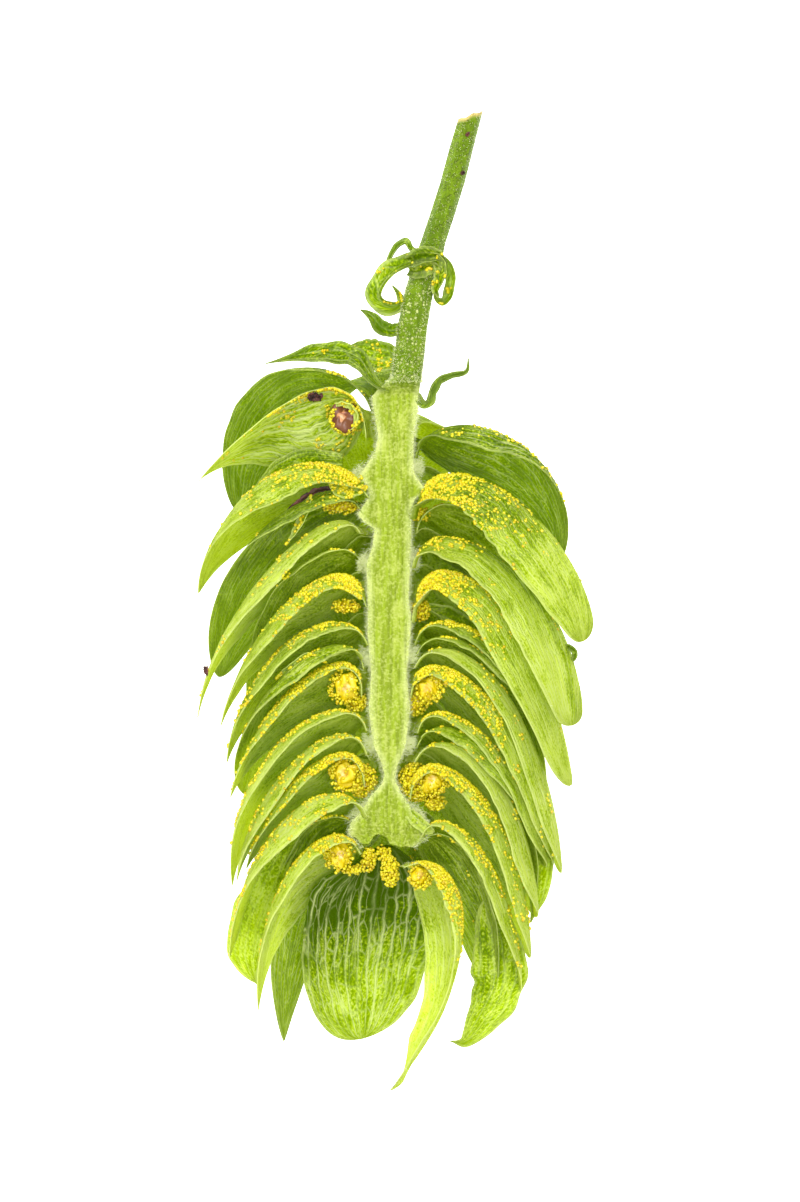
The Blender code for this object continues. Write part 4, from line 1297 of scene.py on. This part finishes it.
class HOP_OT_add_stem(bpy.types.Operator):
    """Add the stalk and the cut strig"""

    bl_idname = "hop.add_stem"
    bl_label = "Stalk and Strig"

    def execute(self, context):
        y, turn = np.meshgrid(
            np.linspace(STEM_LEFT[0][0], STEM_LEFT[-1][0], STEM_ROWS),
            np.linspace(0.0, 2.0 * math.pi, STEM_SIDES, endpoint=False),
            indexing="ij",
        )
        points, opened, half, slope = stem_surface(y, turn)
        faces = stem_faces(STEM_ROWS, STEM_SIDES)
        piece = add_piece("stem_flesh", points, faces, stem_material(context.scene.hop_colors))
        y = points[..., 1]
        values = {
            "cut": opened * smooth_step(np.sin(turn), -0.05, 0.02),
            "margin": half * (1.0 - np.abs(np.cos(turn))),
            "woolly": 0.15 + 0.75 * smooth_step(y, *WOOLLY_HEIGHTS),
            "dry": smooth_step(y, slope - 0.30, slope - 0.02),
        }
        add_values(piece, "leaf", points.reshape(-1, 3))
        for key, value in values.items():
            add_values(piece, key, value.ravel())
        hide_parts("stem")
        return {"FINISHED"}


def blade_of(spec, sizes, seed):
    """A blade's sheet with the sizes of the sidebar."""
    return blade_sheet(spec, sizes.blade_rows, sizes.blade_columns, sizes.blade_thickness / MM, seed)


class HOP_OT_add_small_leaves(bpy.types.Operator):
    """Add the small leaves and the curled bracts at the stalk's collar"""

    bl_idname = "hop.add_small_leaves"
    bl_label = "Small Leaves"

    def execute(self, context):
        sizes = context.scene.hop_sizes
        for seed, (name, spec) in enumerate({**BLADES, **EXTRA_BLADES}.items()):
            sheet = blade_of(spec, sizes, 40 + seed)
            piece = add_sheet(name + "_blade", sheet, leaf_material(context.scene.hop_colors), 900 + seed)
            if name in BLADES:
                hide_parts(name)
        return {"FINISHED"}


# A pod's sides and rings, the waves through its radius, its width, length and depth as shares of its size,
# and the angle over which its hollow opens, in radians.
POD_BALL = (44, 30)
POD_WAVES = 7
POD_SHAPE = (0.88, 1.06, 0.75)
HOLLOW_ANGLE = 0.62


def add_pod(name, centre, size, seed, hollow, material):
    """A pod opened by the cut: a ball whose radius swells and sinks with a few random waves through it,
    with a hollow to one side of its top."""
    chance = np.random.default_rng(seed)
    shape, faces = unit_ball(*POD_BALL)
    lumps = np.zeros(len(shape))
    for _ in range(POD_WAVES):
        way = chance.normal(0.0, 1.0, 3)
        lumps += np.sin(shape @ way * chance.uniform(1.4, 6.0) + chance.uniform(0.0, 6.0)) / POD_WAVES
    opening = np.array([chance.uniform(-0.4, 0.4), chance.uniform(-0.3, 0.5), 1.0])
    away = np.arccos(np.clip(shape @ (opening / np.linalg.norm(opening)), -1.0, 1.0))
    inside = np.exp(-((away / HOLLOW_ANGLE) ** 2) * (1.0 + 0.8 * lumps))
    radius = 1.0 + 0.5 * lumps - hollow * inside
    turn = chance.uniform(-0.6, 0.6)
    points = shape * radius[:, None] * np.array(POD_SHAPE)
    cos, sin = math.cos(turn), math.sin(turn)
    turned = np.array([[cos, -sin, 0.0], [sin, cos, 0.0], [0, 0, 1]])
    points = points @ turned * size + np.array([*centre, OVARY_HEIGHT])
    piece = add_piece(name, points, faces, material)
    add_values(piece, "inside", inside)
    return piece


class HOP_OT_add_ovaries(bpy.types.Operator):
    """Add the cut ovaries at the feet of the bracteoles"""

    bl_idname = "hop.add_ovaries"
    bl_label = "Ovaries"

    def execute(self, context):
        colors = context.scene.hop_colors
        material = flesh_material("ovary_flesh", (0.60, 0.46, 0.0), colors.ovary, (0.60, 0.40, 0.03))
        for seed, (name, (centre, size)) in enumerate(OVARIES.items()):
            piece = add_pod(name + "_flesh", centre, size * 1.12, 60 + seed, 0.55, material)
            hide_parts(name)
        return {"FINISHED"}


class HOP_OT_add_seed(bpy.types.Operator):
    """Add the brown seed, opened by the cut, with its pale kernel"""

    bl_idname = "hop.add_seed"
    bl_label = "Seed"

    def execute(self, context):
        colors = context.scene.hop_colors
        centre, size = SEED
        shell = flesh_material("seed_shell", colors.seed, (0.38, 0.13, 0.035), (0.15, 0.035, 0.01))
        piece = add_pod("seed_shell", centre, size * 1.1, 77, 0.95, shell)
        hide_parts("seed")
        kernel = flesh_material("seed_kernel", (0.44, 0.20, 0.08), (0.60, 0.40, 0.24), (0.40, 0.17, 0.07))
        inner = (centre[0] - 0.02, centre[1] - 0.02)
        add_pod("seed_kernel", inner, size * 0.8, 78, 0.12, kernel)
        return {"FINISHED"}


class HOP_OT_add_dried_scraps(bpy.types.Operator):
    """Add the dried brown scraps on the bracts and the stalk"""

    bl_idname = "hop.add_dried_scraps"
    bl_label = "Dried Scraps"

    def execute(self, context):
        sizes = context.scene.hop_sizes
        for seed, (name, (route, half_width)) in enumerate(SCRAPS.items()):
            spec = Blade(route, half_width, 30, 0.1, 0.5, 0.6, 0)
            sheet = blade_sheet(spec, 24, 10, sizes.blade_thickness / MM, 80 + seed)
            chance = np.random.default_rng(90 + seed)
            sheet.points = sheet.points + half_width * chance.normal(0.0, 0.16, sheet.points.shape)
            add_sheet(name, sheet, scrap_material(), 950 + seed)
        return {"FINISHED"}


# A gland's sides and rings, the least and the greatest diameter as shares of the usual one, how far its
# middle stands over the surface and how flat it is, as shares of its radius.
GLAND_BALL = (6, 4)
GLAND_SIZES = (0.53, 1.22)
GLAND_RAISED = 0.65
GLAND_FLATNESS = 0.88
# Glands round each cut ovary and round the seed: how many, and how widely they are spread.
OVARY_RING = (130, 0.16)
SEED_RING = (110, 0.09)
# The heap of glands on an ovary 0.6 mm in radius: where it is, its half lengths, and how many glands.
POD_RADIUS = 0.6
POD_HEAP_SHIFT = (0.15, -0.1)
POD_HEAP = (0.62, 0.66, 0.5)
POD_HEAP_GLANDS = 26


def scattered(sheet, count, chance, weights, spread, clump):
    """Fractional rows and columns of points on a sheet, in clumps: cells drawn by weight, then spread."""
    weights = weights.ravel() / weights.sum()
    centres = chance.choice(weights.size, size=max(1, int(count / clump)), p=weights)
    cells = chance.choice(centres, size=count)
    row, column = np.divmod(cells, sheet.row.shape[1])
    row = row + chance.normal(0.0, spread, count)
    column = column + chance.normal(0.0, spread, count)
    return row, column


def joined_groups(groups):
    """Groups of arrays as one group: first arrays end to end, second arrays end to end, and so on."""
    return [np.concatenate(parts) for parts in zip(*groups)]


def bract_glands(name, sizes):
    """Places and outward directions of a bract's glands: over its outer face near its foot, and along its
    ridge, which is where it crosses the cut plane."""
    bract = BRACTS[name]
    sheet = sheet_of(name, sizes)
    chance = np.random.default_rng(300 + bract_seed(name))
    fade = sheet.area * np.exp(-((sheet.row / bract.reach) ** 2)) * smooth_step(sheet.row, 0.01, 0.05)
    side = -1.0 if bract.front < 5 else 1.0
    if bract.front < 5:
        facing = smooth_step(-sheet.past, 0.0, 0.05)
    else:
        facing = smooth_step(sheet.past, -0.15, 0.05)
    found = [(np.zeros((0, 3)), np.zeros((0, 3)))]
    for count, weight in (
        (bract.face, fade * facing),
        (bract.ridge, fade * np.exp(-(((sheet.past - 0.02) / 0.10) ** 2))),
    ):
        count = int(count * sizes.gland_amount)
        if count:
            row, column = scattered(sheet, count, chance, weight + 1e-12, 1.2, 3.5)
            normals = read_grid(sheet.normals, row, column) * side
            found.append((read_grid(sheet.points, row, column), normals))
    return joined_groups(found)


def ring_glands(centre, size, count, wide, chance):
    """Glands round a cut ovary, thicker on one side of it."""
    turn = chance.uniform(0.0, 2.0 * math.pi) + chance.normal(0.0, 1.6, count)
    radius = size * chance.normal(1.05, wide, count)
    z = OVARY_HEIGHT + size * chance.uniform(-0.2, 0.45, count)
    places = np.stack([centre[0] + radius * np.cos(turn) * 0.9, centre[1] + radius * np.sin(turn), z], -1)
    out = np.stack([np.cos(turn), np.sin(turn), np.ones(count)], -1) / math.sqrt(2.0)
    return places, out


def heap_glands(middle, half, count, chance):
    """Glands over the upper side of a low heap, and a little beyond its rim."""
    turn = chance.uniform(0.0, 2.0 * math.pi, count)
    away = np.sqrt(chance.uniform(0.0, 1.25, count))
    flat = np.stack([away * np.cos(turn), away * np.sin(turn)], -1)
    up = np.sqrt(np.maximum(0.0, 1.0 - away**2)) + chance.uniform(-0.4, 0.3, count)
    places = np.array(middle) + np.concatenate([flat, up[:, None]], 1) * np.array(half)
    out = np.concatenate([0.8 * flat, np.ones((count, 1))], 1)
    return places, out


def blade_glands(spec, sizes, seed):
    """Glands over the face of a small blade that looks out of the cut plane."""
    count = int(spec.glands * sizes.gland_amount)
    sheet = blade_of(spec, sizes, seed)
    chance = np.random.default_rng(seed)
    row, column = scattered(sheet, max(count, 1), chance, np.ones_like(sheet.row), 1.5, 3.0)
    normals = read_grid(sheet.normals, row, column)
    normals = normals * np.where(normals[:, 2:] < 0.0, -1.0, 1.0)
    places = read_grid(sheet.points, row, column)
    return places[:count], normals[:count]


def add_gland_piece(name, groups, sizes, material, chance):
    """One piece of many drops: low balls a little flattened, half sunk along the surface's normal."""
    places, normals = joined_groups(groups)
    normals = unit(normals)
    shape, faces = unit_ball(*GLAND_BALL)
    radius = sizes.gland_diameter / MM / 2.0 * chance.uniform(*GLAND_SIZES, len(places))
    origins = places + normals * (radius * GLAND_RAISED)[:, None]
    frames = frames_along(normals) * radius[:, None, None]
    frames = frames * np.array([1.0, 1.0, GLAND_FLATNESS])[None, :, None]
    points, quads = joined_copies(shape, faces, origins, frames)
    points[:, 2] = np.maximum(points[:, 2], -FLOOR_DEPTH)
    piece = add_piece(name, points, quads, material)
    add_values(piece, "shade", np.repeat(chance.uniform(0.0, 1.0, len(places)), len(shape)))
    return piece


class HOP_OT_add_glands(bpy.types.Operator):
    """Add the yellow lupulin glands on the bracts and small leaves, and in heaps beside the strig"""

    bl_idname = "hop.add_glands"
    bl_label = "Lupulin Glands"

    def execute(self, context):
        sizes = context.scene.hop_sizes
        material = gland_material(context.scene.hop_colors)
        chance = np.random.default_rng(9)
        for start, parts in (("bract_left", 2), ("bract_right", 3), ("bract_back", 1), ("bract_tip", 1)):
            names = [name for name in BRACTS if name.startswith(start)]
            for part in range(parts):
                groups = [bract_glands(name, sizes) for name in names[part::parts]]
                title = f"{start.replace('bract', 'glands')}_{part + 1}"
                add_gland_piece(title, groups, sizes, material, chance)
        pods = OVARIES.values()
        rings = [ring_glands(centre, size * 1.25, *OVARY_RING, chance) for centre, size in pods]
        rings.append(ring_glands(*SEED, *SEED_RING, chance))
        for (x, y), size in pods:
            middle = (x + POD_HEAP_SHIFT[0], y + POD_HEAP_SHIFT[1], OVARY_HEIGHT)
            half = [part * size / POD_RADIUS for part in POD_HEAP]
            rings.append(heap_glands(middle, half, POD_HEAP_GLANDS, chance))
        blades = enumerate({**BLADES, **EXTRA_BLADES}.values())
        rings += [blade_glands(spec, sizes, 40 + seed) for seed, spec in blades]
        add_gland_piece("glands_ovaries", rings, sizes, material, chance)
        groups = [heap_glands(*heap, chance) for heap in HEAPS]
        add_gland_piece("glands_heaps", groups, sizes, material, chance)
        shape, faces = unit_ball(24, 16)
        origins = np.array([heap[0] for heap in HEAPS])
        frames = np.array([np.diag(heap[1]) * 0.8 for heap in HEAPS])
        points, quads = joined_copies(shape, faces, origins, frames)
        piece = add_piece("gland_heap_cores", points, quads, material)
        # The cores take the ramp's darkest amber: painted shade of the deep gaps between the heaped glands.
        add_values(piece, "shade", np.zeros(len(points)))
        return {"FINISHED"}


STRIG_HAIRS = 8600
STALK_HAIRS = 3000
# The share of strig hairs that grow in the woolly knots.
KNOT_SHARE = 0.4
# Width of the hairs on the stalk and the bracts, as a share of the strig's.
FINE_HAIR = 0.8


def hair_shape():
    """Points and quads of a thin bent spike of three sides, one unit long."""
    levels = np.array([[0.0, 1.0, 0.0], [0.4, 0.8, 0.08], [0.75, 0.5, 0.25], [1.0, 0.12, 0.45]])
    turn = np.linspace(0.0, 2.0 * math.pi, 3, endpoint=False)
    rings = [
        np.stack([width * np.cos(turn), width * np.sin(turn), np.full(3, level), np.full(3, bend)], -1)
        for level, width, bend in levels
    ]
    points = np.concatenate(rings)
    faces = []
    for level in range(3):
        for side in range(3):
            after = (side + 1) % 3
            faces.append([3 * level + side, 3 * level + after, 3 * level + 3 + after, 3 * level + 3 + side])
    return points, np.array(faces)


def add_hair_piece(name, places, directions, lengths, width, material, chance):
    """One piece of many hairs, each a bent spike from its place along its direction."""
    shape, faces = hair_shape()
    frames = frames_along(unit(directions))
    spin = chance.uniform(0.0, 2.0 * math.pi, len(places))
    bend_way = np.cos(spin)[:, None] * frames[:, 0] + np.sin(spin)[:, None] * frames[:, 1]
    thin = shape[None, :, :2, None] * frames[:, None, :2] * (width / 2.0)
    tall = shape[None, :, 2:3] * frames[:, None, 2] * lengths[:, None, None]
    bent = shape[None, :, 3:4] * bend_way[:, None] * lengths[:, None, None]
    points = places[:, None] + thin.sum(2) + tall + bent
    points[..., 2] = np.maximum(points[..., 2], -FLOOR_DEPTH)
    return add_piece(name, points, repeated_faces(faces, len(places), len(shape)), material)


def strig_hairs(count, chance, length):
    """Hairs on both edges of the cut strig, pointing outwards and up."""
    y = chance.uniform(STEM_LEFT[-1][0], CUT_RUNS_OUT[0], count)
    is_left = chance.uniform(size=count) < 0.5
    side = np.where(is_left, -1.0, 1.0)
    knots = np.where(is_left, chance.choice(HAIRY_LEFT, count), chance.choice(HAIRY_RIGHT, count))
    knotted = chance.uniform(size=count) < KNOT_SHARE
    y = np.where(knotted, knots + chance.normal(0.0, 0.3, count), y)
    left, right = stem_edges(y)
    edge = np.where(is_left, left, right)
    x = edge - side * np.abs(chance.normal(0.0, 0.10, count))
    x = np.where(knotted, edge + side * chance.uniform(-0.1, 0.45, count), x)
    places = np.stack([x, y, chance.uniform(-0.5, 0.05, count)], -1)
    directions = np.stack([side, chance.normal(0.0, 0.7, count), chance.uniform(0.0, 1.1, count)], -1)
    return places, directions, length * chance.uniform(0.5, 1.2, count)


def stalk_hairs(count, chance, length):
    """Short hairs round the stalk, denser towards the cone."""
    low, high = CUT_RUNS_OUT[1] - 0.4, STEM_LEFT[0][0] - 0.3
    y = low + (high - low) * chance.uniform(size=count) ** 2.4
    left, right = stem_edges(y)
    turn = chance.uniform(0.0, 2.0 * math.pi, count)
    half = (right - left) / 2.0
    x = (left + right) / 2.0 + half * np.cos(turn)
    places = np.stack([x, y, STALK_DEPTH * np.sin(turn)], -1)
    away = np.stack([np.cos(turn), chance.normal(-0.2, 0.5, count), np.sin(turn)], -1)
    return places, away, 0.6 * length * chance.uniform(0.5, 1.1, count)


def bract_hairs(name, sizes, length):
    """Hairs on a bract's margins and on its foot."""
    count = int(BRACTS[name].hairs * sizes.hair_amount)
    sheet = sheet_of(name, sizes)
    chance = np.random.default_rng(500 + bract_seed(name))
    near_margin = np.exp(-((sheet.margin / 0.12) ** 2))
    near_foot = 1.6 * np.exp(-((sheet.row / 0.12) ** 2))
    row, column = scattered(sheet, max(count, 1), chance, near_margin + near_foot + 1e-9, 0.8, 1.5)
    normals = read_grid(sheet.normals, row, column)
    directions = normals + chance.normal(0.0, 0.6, normals.shape)
    lengths = 0.55 * length * chance.uniform(0.5, 1.2, len(row))
    return read_grid(sheet.points, row, column), directions, lengths


class HOP_OT_add_hairs(bpy.types.Operator):
    """Add the fine white hairs of the strig, the stalk and the bracts"""

    bl_idname = "hop.add_hairs"
    bl_label = "Hairs"

    def execute(self, context):
        sizes = context.scene.hop_sizes
        material = hair_material()
        length, width = sizes.hair_length / MM, sizes.hair_width / MM
        chance = np.random.default_rng(21)
        hairs = strig_hairs(int(STRIG_HAIRS * sizes.hair_amount), chance, length)
        add_hair_piece("hairs_strig", *hairs, width, material, chance)
        hairs = stalk_hairs(int(STALK_HAIRS * sizes.hair_amount), chance, length)
        add_hair_piece("hairs_stalk", *hairs, width * FINE_HAIR, material, chance)
        found = [bract_hairs(name, sizes, length) for name in BRACTS]
        add_hair_piece("hairs_bracts", *joined_groups(found), width * FINE_HAIR, material, chance)
        return {"FINISHED"}


# ---------------------------------------------------------------- stage

CAMERA_DISTANCE = 0.6
VIEW_HEIGHT = 0.0661
# The middle of the view, in the cone's frame.
VIEW_CENTRE = (0.385, -0.055)
FILM_HEIGHT = 36.0
FLOOR_HALF_SIDE = 0.6
# Square lamps: side in metres, place, and tilt about X and Y in degrees.
LAMPS = {
    "key": (0.22, (-0.12, 0.20, 0.30), (-34.0, -18.0)),
    "fill": (0.16, (0.06, -0.05, 0.42), (7.0, 8.0)),
}


class HOP_OT_add_stage(bpy.types.Operator):
    """Add the pale floor, the soft lights and the camera"""

    bl_idname = "hop.add_stage"
    bl_label = "Stage"

    def execute(self, context):
        scene = context.scene
        light = scene.hop_light
        mesh = bpy.data.meshes.new("floor")
        side = FLOOR_HALF_SIDE
        corners = [(-side, -side, 0.0), (side, -side, 0.0), (side, side, 0.0), (-side, side, 0.0)]
        mesh.from_pydata(corners, [], [(0, 1, 2, 3)])
        mesh.materials.append(floor_material(scene.hop_colors.floor, light.floor_glow))
        floor = bpy.data.objects.new("floor", mesh)
        scene.collection.objects.link(floor)

        world = bpy.data.worlds.new("studio")
        world.use_nodes = True
        sky = world.node_tree.nodes["Background"]
        sky.inputs["Color"].default_value = (1.0, 1.0, 1.0, 1.0)
        sky.inputs["Strength"].default_value = light.sky
        scene.world = world

        for name, (size, place, (about_x, about_y)) in LAMPS.items():
            lamp = bpy.data.lights.new(name, "AREA")
            lamp.shape = "SQUARE"
            lamp.size = size
            lamp.energy = getattr(light, name)
            holder = bpy.data.objects.new(name, lamp)
            holder.location = place
            holder.rotation_euler = (math.radians(about_x), math.radians(about_y), 0.0)
            scene.collection.objects.link(holder)

        view = bpy.data.cameras.new("camera")
        view.sensor_fit = "VERTICAL"
        view.sensor_height = FILM_HEIGHT
        middle = PLACE[2] * MM
        view.lens = FILM_HEIGHT * CAMERA_DISTANCE / VIEW_HEIGHT
        view.clip_start = 0.01
        view.clip_end = 10.0
        camera = bpy.data.objects.new("camera", view)
        camera.location = (*((PLACE[:2] + VIEW_CENTRE) * MM), middle + CAMERA_DISTANCE)
        scene.collection.objects.link(camera)
        scene.camera = camera
        scene.view_settings.view_transform = "Standard"
        return {"FINISHED"}


class HOP_PT_panel(bpy.types.Panel):
    """Lists the steps that build the cone"""

    bl_idname = "HOP_PT_panel"
    bl_label = "Halved Hop Cone"
    bl_space_type = "VIEW_3D"
    bl_region_type = "UI"
    bl_category = "Hop"

    def draw(self, context):
        layout = self.layout
        for group in (context.scene.hop_sizes, context.scene.hop_colors, context.scene.hop_light):
            box = layout.box()
            for key in group.__annotations__:
                box.prop(group, key)
        for operator in OPERATORS:
            layout.operator(operator.bl_idname)


OPERATORS = (
    HOP_OT_add_stage,
    HOP_OT_add_stem,
    HOP_OT_add_front_bracts,
    HOP_OT_add_back_bracts,
    HOP_OT_add_tip_bracts,
    HOP_OT_add_small_leaves,
    HOP_OT_add_ovaries,
    HOP_OT_add_seed,
    HOP_OT_add_dried_scraps,
    HOP_OT_add_glands,
    HOP_OT_add_hairs,
)
CLASSES = (HopSizes, HopColors, HopLight, *OPERATORS, HOP_PT_panel)


def register():
    for item in CLASSES:
        bpy.utils.register_class(item)
    bpy.types.Scene.hop_sizes = bpy.props.PointerProperty(type=HopSizes)
    bpy.types.Scene.hop_colors = bpy.props.PointerProperty(type=HopColors)
    bpy.types.Scene.hop_light = bpy.props.PointerProperty(type=HopLight)


def unregister():
    for name in ("hop_sizes", "hop_colors", "hop_light"):
        delattr(bpy.types.Scene, name)
    for item in reversed(CLASSES):
        bpy.utils.unregister_class(item)


def main():
    register()
    bpy.ops.hop.add_stage()
    bpy.ops.hop.add_stem()
    bpy.ops.hop.add_front_bracts()
    bpy.ops.hop.add_back_bracts()
    bpy.ops.hop.add_tip_bracts()
    bpy.ops.hop.add_small_leaves()
    bpy.ops.hop.add_ovaries()
    bpy.ops.hop.add_seed()
    bpy.ops.hop.add_dried_scraps()
    bpy.ops.hop.add_glands()
    bpy.ops.hop.add_hairs()


if __name__ == "__main__":
    main()
